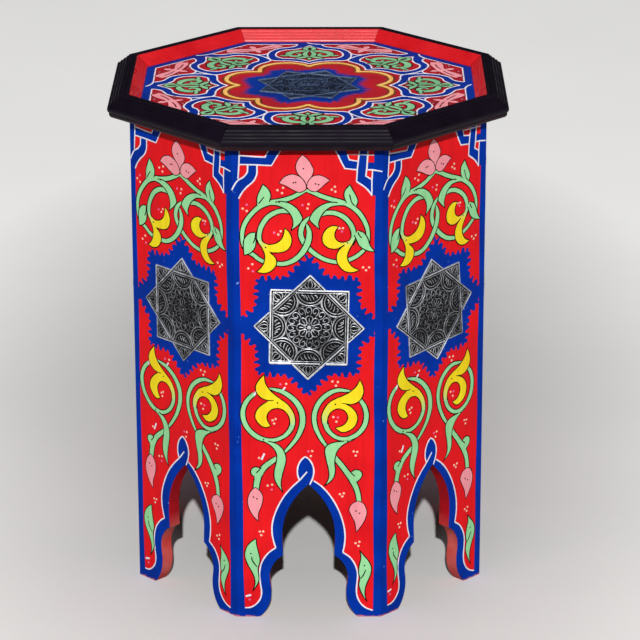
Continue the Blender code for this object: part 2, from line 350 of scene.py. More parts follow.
# %% [markdown]
# ## Enamel
# The paint is gloss enamel laid on with a brush. Close up it isn't one colour: each stroke is thicker in
# places, the gloss is uneven, and bristles leave fine ridges. Three noises give that: a broad one for the
# depth of colour, one stretched along the stroke for the ridges, and a small one for chips.

# %% Enamel finishes
CLOUD_SCALE = 28.0
BRISTLE_SCALE = 260.0
BRISTLE_DEPTH = 0.00005
STREAK_SPAN = (0.35, 0.6)
STREAK_DARK = 0.86
STREAK_SHARE = 0.6
UP_AND_DOWN = (1, 1, 0.06)
MATT = {"stroke": (1, 1, 1), "gloss": 0.58, "shine": 0.05}
CHIP_SCALE = 190.0
CHIP_SPAN = (0.72, 0.75)
SCUFF_HEIGHTS = (0.0045, 0.0)
SCUFF_SCALE = 120.0
SCUFF_SPAN = (0.28, 0.42)
REVEAL_HEIGHTS = (0.055, 0.085)
REVEAL_SPAN = (0.32, 0.62)
TRAY_RED_TONES = ((190, 30, 44), (164, 22, 36))


def enamel(name, colour, shade, stroke=UP_AND_DOWN, gloss=0.5, shine=0.12,
           chips=None, fade=None, scuff=None):
    """Brushed enamel from its full colour to its thin or dirty shade.

    Gloss is its mean roughness and shine how strongly it mirrors. Chips show a paler colour in small
    flecks, and a scuff shows its colour just above the floor. Where the piece carries a fade attribute,
    the wet colour of the next shape runs into this one."""
    finish, tree, shader, place = new_finish(name)
    depth = noise(tree, place, CLOUD_SCALE, 3.0)
    bristles = noise(tree, place, BRISTLE_SCALE, 2.0, stroke)
    streak = ramp(tree, bristles, grey(STREAK_DARK), grey(1.0), STREAK_SPAN)
    tone = blend(tree, STREAK_SHARE, two_tones(tree, depth, shade, colour), streak, "MULTIPLY")
    if chips:
        flecks = mask(tree, noise(tree, place, CHIP_SCALE, 4.0), CHIP_SPAN)
        tone = blend(tree, flecks, tone, chart(*chips))
    if scuff:
        low = between(tree, height_of(tree, place), 0.0, 1.0, SCUFF_HEIGHTS)
        rubbed = sums(tree, "MULTIPLY", low, noise(tree, place, SCUFF_SCALE, 4.0))
        tone = blend(tree, mask(tree, rubbed, SCUFF_SPAN), tone, chart(*scuff))
    if fade:
        wet = node(tree, "ShaderNodeAttribute", attribute_name="fade").outputs["Fac"]
        tone = blend(tree, wet, tone, chart(*fade))
    coat(tree, shader, tone, between(tree, depth, gloss - 0.08, gloss + 0.12), shine)
    bump(tree, shader, bristles, BRISTLE_DEPTH)
    return finish


def reveal_enamel():
    """Red on the sawn edge of an arch: darker above as painted shade under the crown, rubbed pale at the
    feet.
    """
    finish, tree, shader, place = new_finish("reveal_red")
    cloud = noise(tree, place, 34.0, 3.0)
    pale = two_tones(tree, cloud, (222, 104, 98), (206, 62, 60), REVEAL_SPAN)
    # The deep red above is painted shade under the arch's crown, darker than the paint's own red.
    deep = two_tones(tree, cloud, (160, 16, 28), (196, 20, 32), REVEAL_SPAN)
    rise = between(tree, height_of(tree, place), 0.0, 1.0, REVEAL_HEIGHTS)
    coat(tree, shader, blend(tree, rise, pale, deep), between(tree, cloud, 0.42, 0.62), 0.12)
    bump(tree, shader, noise(tree, place, 300.0, 3.0), BRISTLE_DEPTH)
    return finish


RED = enamel("red_enamel", (242, 26, 32), (226, 20, 30))
REVEAL = reveal_enamel()
RIM_RED = enamel("slope_red", (218, 21, 31), (202, 17, 27), gloss=0.3, shine=0.7)
BLUE = enamel("blue_enamel", (0, 54, 168), (0, 44, 145), shine=0.06,
              chips=(110, 150, 220), scuff=(204, 116, 122))
MINT = enamel("mint_enamel", (162, 230, 166), (150, 218, 154))
YELLOW = enamel("yellow_enamel", (255, 234, 40), (253, 216, 30), fade=(160, 228, 164))
PINK = enamel("pink_enamel", (255, 166, 174), (249, 152, 162))
WHITE = enamel("white_enamel", (250, 246, 252), (236, 232, 246))
BLACK_LINE = enamel("black_line", (22, 12, 8), (12, 8, 6), shine=0.06)
DARK_RED = enamel("dark_red_line", (120, 18, 30), (92, 14, 24), shine=0.06)
CREAM = enamel("cream_dots", (252, 214, 190), (246, 192, 166))
ROSE = enamel("rose_dots", (246, 120, 170), (232, 96, 150))
ORANGE = enamel("orange_enamel", (255, 202, 108), (250, 180, 84))
BROWN = enamel("brown_line", (150, 84, 30), (118, 60, 22))
TRAY_RED = enamel("tray_red", *TRAY_RED_TONES, **MATT)
TRAY_BLUE = enamel("tray_blue", (0, 52, 160), (0, 42, 138), **MATT)
TRAY_GREEN = enamel("tray_green", (146, 208, 156), (126, 188, 140), **MATT)
print("enamels mixed:", len(bpy.data.materials))

# %% [markdown]
# ## Wood, black moulding and metal
# Inside, the boards are bare softwood with long grain; the panels' backs are given a darker brown, as
# painted shade of the table's dark inside. The frame moulding is black enamel rubbed brown on its lower
# beads. The stars are white metal: dark patina in the hollows, bright where hands rub.

# %% Wood, moulding and metal finishes
SOOT = (0.6, 0.57, 0.54, 1.0)
WORN_HEIGHT = 0.009


def bare_wood(name, light, dark):
    """Softwood with its grain up and down, darkened in patches by age."""
    finish, tree, shader, place = new_finish(name)
    grain = noise(tree, place, 90.0, 5.0, (1, 1, 0.05))
    tone = two_tones(tree, grain, dark, light, (0.3, 0.65))
    soot = ramp(tree, noise(tree, place, 9.0, 2.0), SOOT, grey(1.0), (0.35, 0.65))
    coat(tree, shader, blend(tree, 0.8, tone, soot, "MULTIPLY"), between(tree, grain, 0.62, 0.82))
    bump(tree, shader, grain, 0.0003)
    return finish


def black_moulding():
    """Black enamel, rubbed brown on the lower beads."""
    finish, tree, shader, place = new_finish("black_moulding")
    cloud = noise(tree, place, 40.0, 3.0)
    low = between(tree, height_of(tree, place), 0.0, 1.0, (RIM_BOTTOM + WORN_HEIGHT, RIM_BOTTOM))
    worn = mask(tree, sums(tree, "MULTIPLY", low, cloud), (0.2, 0.6), 0.7)
    tone = two_tones(tree, cloud, (13, 7, 16), (20, 12, 26), NOISE_SPAN)
    coat(tree, shader, blend(tree, worn, tone, chart(58, 34, 34)), between(tree, cloud, 0.42, 0.6), 0.09)
    bump(tree, shader, noise(tree, place, 420.0, 3.0), 0.00004)
    return finish


def metal(name, bright, dull, roughness, share, shine=0.5):
    """Patinated metal; share is how much of it still shows as clean metal.

    A fine noise is the grain of the patina, a broad one the places that hands rub bright."""
    finish, tree, shader, place = new_finish(name)
    patina = noise(tree, place, 160.0, 4.0)
    rubbed = noise(tree, place, 26.0, 2.0)
    wear = node(tree, "ShaderNodeMix", [(0, 0.5), (2, patina), (3, rubbed)]).outputs[0]
    tone = two_tones(tree, wear, dull, bright, (0.4, 0.58))
    coat(tree, shader, tone, between(tree, patina, roughness + 0.12, roughness - 0.06), shine)
    feed(tree, shader, [("Metallic", share)])
    bump(tree, shader, noise(tree, place, 700.0, 3.0), 0.00005)
    return finish


# The panels' backs get a darker brown than the blocks: painted shade of the table's inside.
SHADED_PANEL_WOOD = bare_wood("shaded_panel_back_wood", (112, 82, 58), (72, 50, 34))
BLOCK_WOOD = bare_wood("block_wood", (196, 158, 112), (150, 110, 72))
BLACK = black_moulding()
PATINA = metal("star_patina", (18, 18, 21), (7, 7, 9), 0.5, 0.1, 0.12)
# The front star's metal is painted brighter, painted highlights of the sun it faced; the side stars' metal
# is painted darker, painted shade.
LIT_STAR_METAL = (
    PATINA,
    metal("star_outline", (252, 253, 255), (190, 193, 200), 0.35, 0.15),
    metal("star_edging", (240, 242, 246), (120, 122, 128), 0.34, 0.65),
    metal("star_stamping", (220, 222, 228), (95, 97, 103), 0.36, 0.65),
)
SHADED_STAR_METAL = (
    PATINA,
    metal("shaded_star_outline", (196, 200, 208), (118, 121, 128), 0.4, 0.4),
    metal("shaded_star_edging", (178, 180, 186), (92, 94, 99), 0.4, 0.65),
    metal("shaded_star_stamping", (146, 148, 153), (66, 67, 71), 0.42, 0.65),
)
DARK_METAL = (
    metal("tray_star_patina", (16, 23, 40), (9, 13, 25), 0.55, 0.2, 0.1),
    metal("tray_star_outline", (104, 122, 152), (60, 75, 104), 0.5, 0.2, 0.2),
    metal("tray_star_edging", (72, 90, 122), (44, 57, 84), 0.5, 0.2, 0.2),
    metal("tray_star_stamping", (72, 90, 122), (44, 57, 84), 0.5, 0.2, 0.2),
)
STEEL = metal("screw_steel", (190, 186, 180), (128, 122, 112), 0.35, 1.0)
print("materials so far:", len(bpy.data.materials))

# %% [markdown]
# ## Panel boards
# Each board is sawn to the arch outline, mitred on its long edges and eased with sandpaper. The solid
# model has the same outline in few steps. Here the arch's curves get more steps and the edges a small
# bevel, because a bevel is what catches the light on real joinery. Front, sawn edge and back differ in
# finish: blue ground, red reveal, bare wood. Paint bridges the glue line at the mitres, so the boards
# meet.

# %% Arch outline and boards
ARCH_KNOTS = ((50.5, 0), (38.6, 28), (40.2, 46), (26.4, 69), (27.0, 92), (0, 148))
ROUND_PULL = 0.45
FLOOR_PULL = (0.5, 0.2)
CUSP_PULL = (0.48, 0.15)
CROWN_PULL = (0.52, 0.22)
ARCH_STEPS = 14
EDGE_EASE = 0.0005
GLUE_LINE = 0.00002
CORNER_STRIPE = 0.060
FACE_ON = 0.3
MITRE_LEAN = 0.5
STRAIGHT_DOWN = 0.9


def arch_side():
    """Right side of the arched opening, floor to crown, as (x, z) in metres."""
    flare, waist, lobe, cusp, bulge, crown = [Vector((x * MM, z * MM, 0)) for x, z in ARCH_KNOTS]
    up = Vector((0, ROUND_PULL, 0))
    across = Vector((1, 0, 0))

    def rise(start, end):
        """A handle that sets off straight up."""
        return up * (end.y - start.y)

    from_floor = flare + Vector(((waist.x - flare.x) * FLOOR_PULL[0], waist.y * FLOOR_PULL[1], 0))
    to_cusp = cusp + Vector(((lobe.x - cusp.x) * CUSP_PULL[0], (lobe.y - cusp.y) * CUSP_PULL[1], 0))
    to_crown = crown + across * bulge.x * CROWN_PULL[0]
    to_crown.y -= (crown.y - bulge.y) * CROWN_PULL[1]
    stretches = (
        (flare, from_floor, waist - rise(flare, waist), waist),
        (waist, waist + rise(waist, lobe), lobe - rise(waist, lobe), lobe),
        (lobe, lobe + rise(lobe, cusp), to_cusp, cusp),
        (cusp, cusp + rise(cusp, bulge), bulge - rise(cusp, bulge), bulge),
        (bulge, bulge + rise(bulge, crown), to_crown, crown),
    )
    points = []
    for start, leave, arrive, end in stretches:
        points += [(p.x, p.y) for p in interpolate_bezier(start, leave, arrive, end, ARCH_STEPS)[:-1]]
    return points + [(crown.x, crown.y)]


def board_finish(face):
    """Number of the finish of a board's face: 0 painted front, 1 sawn edge, 2 bare back."""
    facing = face.normal
    at_mitre = abs(face.calc_center_median().x) > CORNER_STRIPE and abs(facing.z) < FACE_ON
    if facing.y < -FACE_ON or at_mitre and facing.y < MITRE_LEAN:
        return 0
    if facing.y > FACE_ON or facing.z < -STRAIGHT_DOWN:
        return 2
    return 1


def board_mesh():
    """The front board: blue face, red sawn edges, bare back."""
    right = arch_side()
    left = [(-x, z) for x, z in reversed(right[:-1])]
    work = bmesh.new()
    rings = []
    for depth in (0, PANEL_DEPTH):
        edge = (FACE - depth) * math.tan(MITRE_ANGLE) - GLUE_LINE
        corners = [(-edge, 0), (-edge, PANEL_TOP), (edge, PANEL_TOP), (edge, 0)]
        rings.append([work.verts.new((x, -FACE + depth, z)) for x, z in right + left + corners])
    outer, inner = rings
    work.faces.new(outer)
    work.faces.new(inner[::-1])
    for number in range(len(outer)):
        work.faces.new((outer[number - 1], inner[number - 1], inner[number], outer[number]))
    bmesh.ops.recalc_face_normals(work, faces=work.faces)
    eased = [edge for edge in work.edges if abs(edge.verts[0].co.y - edge.verts[1].co.y) < FIT_GAP]
    bmesh.ops.bevel(work, geom=eased, offset=EDGE_EASE, segments=2, profile=0.5, affect="EDGES")
    flat = [face for face in work.faces if len(face.verts) > 4]
    bmesh.ops.triangulate(work, faces=flat, ngon_method="EAR_CLIP")
    for face in work.faces:
        face.material_index = board_finish(face)
    return mesh_from(work, "panel_board", BLUE, REVEAL, SHADED_PANEL_WOOD)


def add_piece(name, mesh, slot, *nodes):
    """A finished piece that rides on the table and may stand for solid nodes."""
    mesh.name = name
    piece = to_scene(name, mesh)
    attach(piece, "root")
    if nodes:
        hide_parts(*nodes)


def add_round(name, mesh, slot, stem):
    """A copy of the front piece on each side, in place of the solid node of that side."""
    for index in range(SIDES):
        copy = mesh.copy()
        copy.transform(turned(index))
        add_piece(f"{name}_{index + 1}", copy, slot, f"{stem}_{index + 1}")


front_board = board_mesh()
add_round("panel_board", front_board, "panel_paint", "side_panel")
print("boards:", SIDES, "of", len(front_board.polygons), "faces")

# %% [markdown]
# ## Frame moulding
# The tray's frame is one moulding cut into eight mitred lengths. A router run shows as parallel reeds:
# four fine ones on the red inner slope, four outside and two beads on the edge. The profile is a list of
# points; each run of beads comes from one function, so it can be as fine as wanted.

# %% Moulding profile and lengths
LIP = 0.1699
ARRIS = 0.1805
LEDGE_EDGE = 0.1896
WIDEST = 0.2025
FASCIA_TOP = 0.518
FASCIA_TUCK = 0.0035
SLOPE_FOOT = 0.0012
QUIRK = 0.0014
GROOVE = 0.0005
BEAD_STEPS = 8
SHARP_ANGLE = math.radians(40)
# Each run of beads has a count and how far they swell.
SLOPE_BEADS = (4, 0.0004)
OUTER_BEADS = (4, 0.0009)
FASCIA_BEADS = (2, 0.0007)


def beads(start, end, count, swell):
    """Rounded beads from start to end as (apothem, z) points, standing to the left of travel."""
    run, rise = end[0] - start[0], end[1] - start[1]
    length = math.hypot(run, rise)
    points = []
    for step in range(count * BEAD_STEPS):
        share = step / (count * BEAD_STEPS)
        stand = swell * abs(math.sin(math.pi * count * share))
        points.append((start[0] + run * share - rise / length * stand,
                       start[1] + rise * share + run / length * stand))
    return points


def moulding_mesh():
    """The front length: its profile drawn at both mitres and joined by strips."""
    seat = TRAY_FLOOR + FIT_GAP
    slope = [(LIP, seat)] + beads((LIP, seat + SLOPE_FOOT), (ARRIS, TABLE_TOP), *SLOPE_BEADS)
    middle = (ARRIS + LEDGE_EDGE) / 2
    ledge = [(ARRIS, TABLE_TOP), (middle - GROOVE, TABLE_TOP), (middle, TABLE_TOP - GROOVE)]
    ledge += [(middle + GROOVE, TABLE_TOP), (LEDGE_EDGE, TABLE_TOP)]
    foot = (WIDEST - FASCIA_TUCK, RIM_BOTTOM)
    outside = beads((LEDGE_EDGE, TABLE_TOP - QUIRK), (WIDEST, FASCIA_TOP), *OUTER_BEADS)
    outside += beads((WIDEST, FASCIA_TOP), foot, *FASCIA_BEADS)
    under = [foot, (FACE + FIT_GAP, RIM_BOTTOM), (FACE + FIT_GAP, seat)]
    profile = slope + ledge + outside + under
    work = bmesh.new()
    ends = []
    for side in (-1, 1):
        ends.append([work.verts.new((side * half_width(a), -a, z)) for a, z in profile])
    left, right = ends
    caps = [work.faces.new(left), work.faces.new(right[::-1])]
    for number in range(len(profile)):
        strip = work.faces.new((left[number - 1], left[number], right[number], right[number - 1]))
        strip.material_index = 1 if 0 < number <= len(slope) else 0
        strip.smooth = True
    bmesh.ops.recalc_face_normals(work, faces=work.faces)
    bmesh.ops.triangulate(work, faces=caps, ngon_method="EAR_CLIP")
    mesh = mesh_from(work, "moulding", BLACK, RIM_RED)
    mesh.set_sharp_from_angle(angle=SHARP_ANGLE)
    return mesh


front_moulding = moulding_mesh()
add_round("frame_moulding", front_moulding, "rim_paint", "rim_moulding")
print("moulding faces:", len(front_moulding.polygons))

# %% [markdown]
# ## Drawing the painting
# A painter draws shapes with a few strokes, so a shape here is a few runs of given points. A smooth
# line through them (a Catmull-Rom spline) keeps its corners only where two runs meet, as at a leaf's tip.
# A filled shape becomes a very thin slab, a layer of paint. Layers that cross stand at different heights,
# so the one on top really covers the one below. No two layers that touch share a height, since faces in
# one place would shade each other black; the last height is for such neighbours.

# %% Lines, strands and slabs of paint
PAINT_FOOT = -0.05
RED_TOP = 0.10
BLUE_TOP = 0.18
LEVEL_TOPS = (0.24, 0.34, 0.44, 0.36)
FLOW_STEPS = 5
KNOB_STEPS = 16
STRAND_SPREAD = 1.1
SAME_POINT = 0.01


def flow(points):
    """A smooth line through given points."""
    if len(points) < 3:
        return list(points)
    knots = [points[0], *points, points[-1]]
    line = []
    for stretch in zip(knots, knots[1:], knots[2:], knots[3:]):
        for step in range(FLOW_STEPS):
            t = step / FLOW_STEPS
            spot = []
            for a, b, c, d in zip(*stretch):
                bend = (2 * a - 5 * b + 4 * c - d) * t * t + (3 * b - a - 3 * c + d) * t ** 3
                spot.append(0.5 * (2 * b + (c - a) * t + bend))
            line.append(tuple(spot))
    return line + [tuple(points[-1])]


def shape(*runs):
    """A shape from runs of points that meet at its corners."""
    return [flow(run) for run in runs]


def strand(*points):
    """The two edges of a strand of vine, from (x, y, half width) along its middle."""
    line = flow(points)
    left, right = [], []
    for number, (x, y, half) in enumerate(line):
        ahead = line[min(number + 1, len(line) - 1)]
        behind = line[max(number - 1, 0)]
        run, rise = ahead[0] - behind[0], ahead[1] - behind[1]
        share = half * STRAND_SPREAD / math.hypot(run, rise)
        left.append((x - rise * share, y + run * share))
        right.append((x + rise * share, y - run * share))
    return [left, right[::-1]]


def knob(x, y, radius, start, end):
    """A round knob, outlined from one angle to another in degrees and open where it joins its vine."""
    steps = [math.radians(start + (end - start) * step / KNOB_STEPS) for step in range(KNOB_STEPS + 1)]
    return [[(x + radius * math.cos(a), y + radius * math.sin(a)) for a in steps]]


def joined(runs):
    """One closed outline, anticlockwise and without doubled points, from the runs of a shape."""
    edge = []
    for point in (point for run in runs for point in run):
        if not edge or math.dist(edge[-1], point) > SAME_POINT:
            edge.append(point)
    if math.dist(edge[0], edge[-1]) < SAME_POINT:
        edge.pop()
    area = sum(a[0] * b[1] - a[1] * b[0] for a, b in zip(edge, edge[1:] + edge[:1]))
    return edge if area > 0 else edge[::-1]


def slab(work, edge, top, foot=PAINT_FOOT):
    """Add one thin flat layer to a mesh, drawn in millimetres, and return its sides."""
    low = [work.verts.new((x * MM, y * MM, foot * MM)) for x, y in edge]
    high = [work.verts.new((x * MM, y * MM, top * MM)) for x, y in edge]
    caps = [work.faces.new(high), work.faces.new(low[::-1])]
    sides = []
    for number in range(len(edge)):
        sides.append(work.faces.new((low[number - 1], low[number], high[number], high[number - 1])))
    for cap in caps:
        cap.normal_update()
    bmesh.ops.triangulate(work, faces=caps, ngon_method="EAR_CLIP")
    return sides


print("paint layers stand", LEVEL_TOPS, "mm off the wood")

# %% [markdown]
# ## Repeating the painting round the table
# The same cartoon was painted on all eight panels, freehand, so no two are alike. Copying the mesh eight
# times in code would make them identical. A Geometry Nodes tree does it better: it stands the drawing up
# on the front face, duplicates it, moves each copy's points a little by a noise that differs from copy
# to copy, and turns each copy onto its side. The front copy stays exactly as drawn.

# %% The tree that repeats
WANDER_SCALE = 11.0
WANDER_STRIDE = 3.7
NOISE_MIDDLE = (0.5, 0.5, 0.5)
ROUND_INPUTS = (
    ("Place", "NodeSocketVector"),
    ("Turn", "NodeSocketVector"),
    ("Copies", "NodeSocketInt"),
    ("Wander", "NodeSocketVector"),
    ("Paint", "NodeSocketMaterial"),
)


def new_tree(name, inputs):
    """A Geometry Nodes tree with its sockets and its two end nodes."""
    tree = bpy.data.node_groups.new(name, "GeometryNodeTree")
    tree.interface.new_socket("Geometry", in_out="INPUT", socket_type="NodeSocketGeometry")
    for label, kind in inputs:
        tree.interface.new_socket(label, in_out="INPUT", socket_type=kind)
    tree.interface.new_socket("Geometry", in_out="OUTPUT", socket_type="NodeSocketGeometry")
    return tree, node(tree, "NodeGroupInput"), node(tree, "NodeGroupOutput")


def build_round_tree():
    """Stand a drawing up, copy it, let all copies but the first wander, and turn each onto its side."""
    tree, entry, leave = new_tree("round_the_table", ROUND_INPUTS)
    given = entry.outputs
    feeds = [("Geometry", given["Geometry"]), ("Translation", given["Place"]), ("Rotation", given["Turn"])]
    stood = node(tree, "GeometryNodeTransform", feeds)
    single = node(tree, "GeometryNodeGeometryToInstance", [("Geometry", stood.outputs[0])])
    feeds = [("Geometry", single.outputs[0]), ("Amount", given["Copies"])]
    many = node(tree, "GeometryNodeDuplicateElements", feeds, domain="INSTANCE")
    index = many.outputs["Duplicate Index"]
    real = node(tree, "GeometryNodeRealizeInstances", [("Geometry", many.outputs[0])])
    spot = node(tree, "GeometryNodeInputPosition").outputs[0]
    feeds = [("Vector", spot), ("W", sums(tree, "MULTIPLY", index, WANDER_STRIDE))]
    feeds += [("Scale", WANDER_SCALE), ("Detail", 1.0)]
    drift = node(tree, "ShaderNodeTexNoise", feeds, noise_dimensions="4D").outputs["Color"]
    drift = vector_sums(tree, "SUBTRACT", drift, NOISE_MIDDLE)
    drift = vector_sums(tree, "MULTIPLY", drift, given["Wander"])
    feeds = [(0, drift), ("Scale", sums(tree, "MINIMUM", index, 1.0))]
    drift = node(tree, "ShaderNodeVectorMath", feeds, operation="SCALE")
    feeds = [("Geometry", real.outputs[0]), ("Offset", drift.outputs[0])]
    freehand = node(tree, "GeometryNodeSetPosition", feeds)
    feeds = [("Vector", spot), ("Angle", sums(tree, "MULTIPLY", index, STEP_ANGLE))]
    spun = node(tree, "ShaderNodeVectorRotate", feeds, rotation_type="Z_AXIS")
    feeds = [("Geometry", freehand.outputs[0]), ("Position", spun.outputs[0])]
    around = node(tree, "GeometryNodeSetPosition", feeds)
    feeds = [("Geometry", around.outputs[0]), ("Material", given["Paint"])]
    painted = node(tree, "GeometryNodeSetMaterial", feeds)
    feed(tree, leave, [(0, painted.outputs[0])])
    return tree


ROUND_TREE = build_round_tree()


def end_round(tree, entry, leave, geometry):
    """Close another tree with the round tree as its last step."""
    feeds = [("Geometry", geometry)] + [(label, entry.outputs[label]) for label, _ in ROUND_INPUTS]
    last = node(tree, "GeometryNodeGroup", feeds, node_tree=ROUND_TREE)
    feed(tree, leave, [(0, last.outputs[0])])
    return tree


print("round tree nodes:", len(ROUND_TREE.nodes))

# %% [markdown]
# ## Brush lines and dots
# Outlines follow a path, so a curve swept with a small flat profile is the natural way: the curve's
# radius is the pressure of the brush. Dots are one small flattened ball placed on many points. Both trees
# end in the tree above, so lines and dots wander with the shapes they belong to.

# %% Trees for brush lines and dots
LINE_INPUTS = (("Flatness", "NodeSocketFloat"), *ROUND_INPUTS)


def build_brush_tree():
    """Sweep a flat ring along each curve, as wide as the curve's radius."""
    tree, entry, leave = new_tree("brush_line", LINE_INPUTS)
    level = node(tree, "GeometryNodeSetCurveNormal", [("Curve", entry.outputs["Geometry"])], mode="Z_UP")
    ring = node(tree, "GeometryNodeCurvePrimitiveCircle", [("Resolution", 6), ("Radius", 1.0)])
    squash = node(tree, "ShaderNodeCombineXYZ", [("X", 1.0), ("Y", entry.outputs["Flatness"]), ("Z", 1.0)])
    flat = node(tree, "GeometryNodeTransform", [("Geometry", ring.outputs[0]), ("Scale", squash.outputs[0])])
    pressure = node(tree, "GeometryNodeInputRadius").outputs[0]
    feeds = [("Curve", level.outputs[0]), ("Profile Curve", flat.outputs[0]), ("Scale", pressure)]
    swept = node(tree, "GeometryNodeCurveToMesh", feeds + [("Fill Caps", True)])
    return end_round(tree, entry, leave, swept.outputs[0])


def build_dot_tree():
    """Place a flat ball on each point, as large as the point's own radius."""
    tree, entry, leave = new_tree("dots", LINE_INPUTS)
    ball = node(tree, "GeometryNodeMeshIcoSphere", [("Radius", 1.0), ("Subdivisions", 2)])
    squash = node(tree, "ShaderNodeCombineXYZ", [("X", 1.0), ("Y", 1.0), ("Z", entry.outputs["Flatness"])])
    flat = node(tree, "GeometryNodeTransform", [("Geometry", ball.outputs[0]), ("Scale", squash.outputs[0])])
    size = node(tree, "GeometryNodeInputNamedAttribute", [("Name", "dot_radius")], data_type="FLOAT")
    feeds = [("Points", entry.outputs["Geometry"]), ("Instance", flat.outputs[0])]
    placed = node(tree, "GeometryNodeInstanceOnPoints", feeds + [("Scale", size.outputs[0])])
    real = node(tree, "GeometryNodeRealizeInstances", [("Geometry", placed.outputs[0])])
    return end_round(tree, entry, leave, real.outputs[0])


BRUSH_TREE = build_brush_tree()
DOT_TREE = build_dot_tree()
print("trees:", [tree.name for tree in (ROUND_TREE, BRUSH_TREE, DOT_TREE)])

# %% [markdown]
# Three functions turn a drawing into a mesh: films from filled shapes, lines from strokes, dots from
# spots. Each hands a tree its settings and takes the result as a plain mesh, so no modifier stays on the
# finished piece. A place to paint is a name for the paint and the settings that stand the drawing there.

# %% Films, lines and dots
BRUSH_FLATNESS = 0.12
DOT_FLATNESS = 0.22
HAND_SWAY = 0.07
HAND_PACE = 0.9
HAND_SHIFT = 2.3
TAPER_SLOPE = 4
FADE_REACH = 10.0
FULL_FADE = 3.0


def grown(data, tree, **values):
    """Run a tree on a mesh or curve and return the result as a plain mesh."""
    holder = to_scene("drawing", data)
    modifier = holder.modifiers.new(tree.name, "NODES")
    modifier.node_group = tree
    for item in tree.interface.items_tree:
        if item.in_out == "INPUT" and item.name in values:
            modifier[item.identifier] = values[item.name]
    graph = bpy.context.evaluated_depsgraph_get()
    mesh = bpy.data.meshes.new_from_object(holder.evaluated_get(graph))
    bpy.data.objects.remove(holder)
    return mesh


def standing(place, turn, copies=SIDES, wander=(0.0, 0.0, 0.0)):
    """What the round tree needs to know."""
    return {"Place": place, "Turn": turn, "Copies": copies, "Wander": wander}


PANEL_STAND = ((0.0, -FACE, 0.0), (math.pi / 2, 0.0, 0.0))
TRAY_STAND = ((0.0, 0.0, TRAY_FLOOR), (0.0, 0.0, math.pi))
ON_PANELS = ("panel_paint", standing(*PANEL_STAND))
FREEHAND = ("panel_paint", standing(*PANEL_STAND, wander=(0.011, 0.0, 0.011)))
ON_TRAY = ("tray_paint", standing(*TRAY_STAND))
ONCE_ON_TRAY = ("tray_paint", standing(*TRAY_STAND, copies=1))


def mark_fade(mesh, spots):
    """Mark how near each point is to a place where two wet colours meet."""
    fade = mesh.attributes.new("fade", "FLOAT", "POINT")
    for vertex in mesh.vertices:
        near = min(math.dist((vertex.co.x / MM, vertex.co.y / MM), spot) for spot in spots)
        share = (FADE_REACH - near) / (FADE_REACH - FULL_FADE)
        fade.data[vertex.index].value = max(0.0, min(1.0, share))


def film_mesh(layers, finish, stand, fades=()):
    """Slabs of paint, each (runs, top)."""
    work = bmesh.new()
    for runs, top in layers:
        slab(work, joined(runs), top)
    mesh = mesh_from(work, "film")
    if fades:
        mark_fade(mesh, fades)
    return grown(mesh, ROUND_TREE, Paint=finish, **stand)


def brush_mesh(strokes, finish, flatness, stand):
    """Swept strokes, each (points, height, half width, taper at the ends)."""
    curve = bpy.data.curves.new("strokes", "CURVE")
    curve.dimensions = "3D"
    for points, height, half, taper in strokes:
        spline = curve.splines.new("POLY")
        last = len(points) - 1
        spline.points.add(last)
        for number, (point, (x, y)) in enumerate(zip(spline.points, points)):
            from_end = min(number, last - number) / max(last, 1)
            hand = 1 + HAND_SWAY * math.sin(HAND_PACE * number + HAND_SHIFT * len(curve.splines))
            point.co = (x * MM, y * MM, height * MM, 1)
            point.radius = half * MM * min(1.0, taper + from_end * TAPER_SLOPE) * hand
    return grown(curve, BRUSH_TREE, Paint=finish, Flatness=flatness, **stand)


def dot_mesh(dots, finish, flatness, stand):
    """Flattened balls, each (x, y, height, radius)."""
    mesh = bpy.data.meshes.new("dots")
    mesh.from_pydata([(x * MM, y * MM, z * MM) for x, y, z, _ in dots], [], [])
    sizes = mesh.attributes.new("dot_radius", "FLOAT", "POINT")
    for number, dot in enumerate(dots):
        sizes.data[number].value = dot[3] * MM
    return grown(mesh, DOT_TREE, Paint=finish, Flatness=flatness, **stand)


def add_films(name, layers, finish, where, fades=()):
    """A piece of paint films at a place to paint."""
    slot, stand = where
    mesh = film_mesh(layers, finish, stand, fades)
    add_piece(name, mesh, slot)
    print(name, "films:", len(layers), "faces:", len(mesh.polygons))


def add_lines(name, strokes, finish, where):
    """A piece of brush lines at a place to paint."""
    slot, stand = where
    mesh = brush_mesh(strokes, finish, BRUSH_FLATNESS, stand)
    add_piece(name, mesh, slot)
    print(name, "strokes:", len(strokes), "faces:", len(mesh.polygons))


def add_dots(name, spots, height, radius, finish, where):
    """A piece of equal dots at a place to paint."""
    slot, stand = where
    dots = [(x, y, height, radius) for x, y in spots]
    add_piece(name, dot_mesh(dots, finish, DOT_FLATNESS, stand), slot)
    print(name, "dots:", len(spots))


print("places to paint:", len((ON_PANELS, FREEHAND, ON_TRAY, ONCE_ON_TRAY)))

# %% [markdown]
# ## Red field and its white border
# Red fills each panel between the blue corner stripes and a blue band that follows the arch. A white line
# runs along the band, crosses itself over the crown and closes as a pointed drop. These follow the edges
# of the wood, so they are the same on every panel.

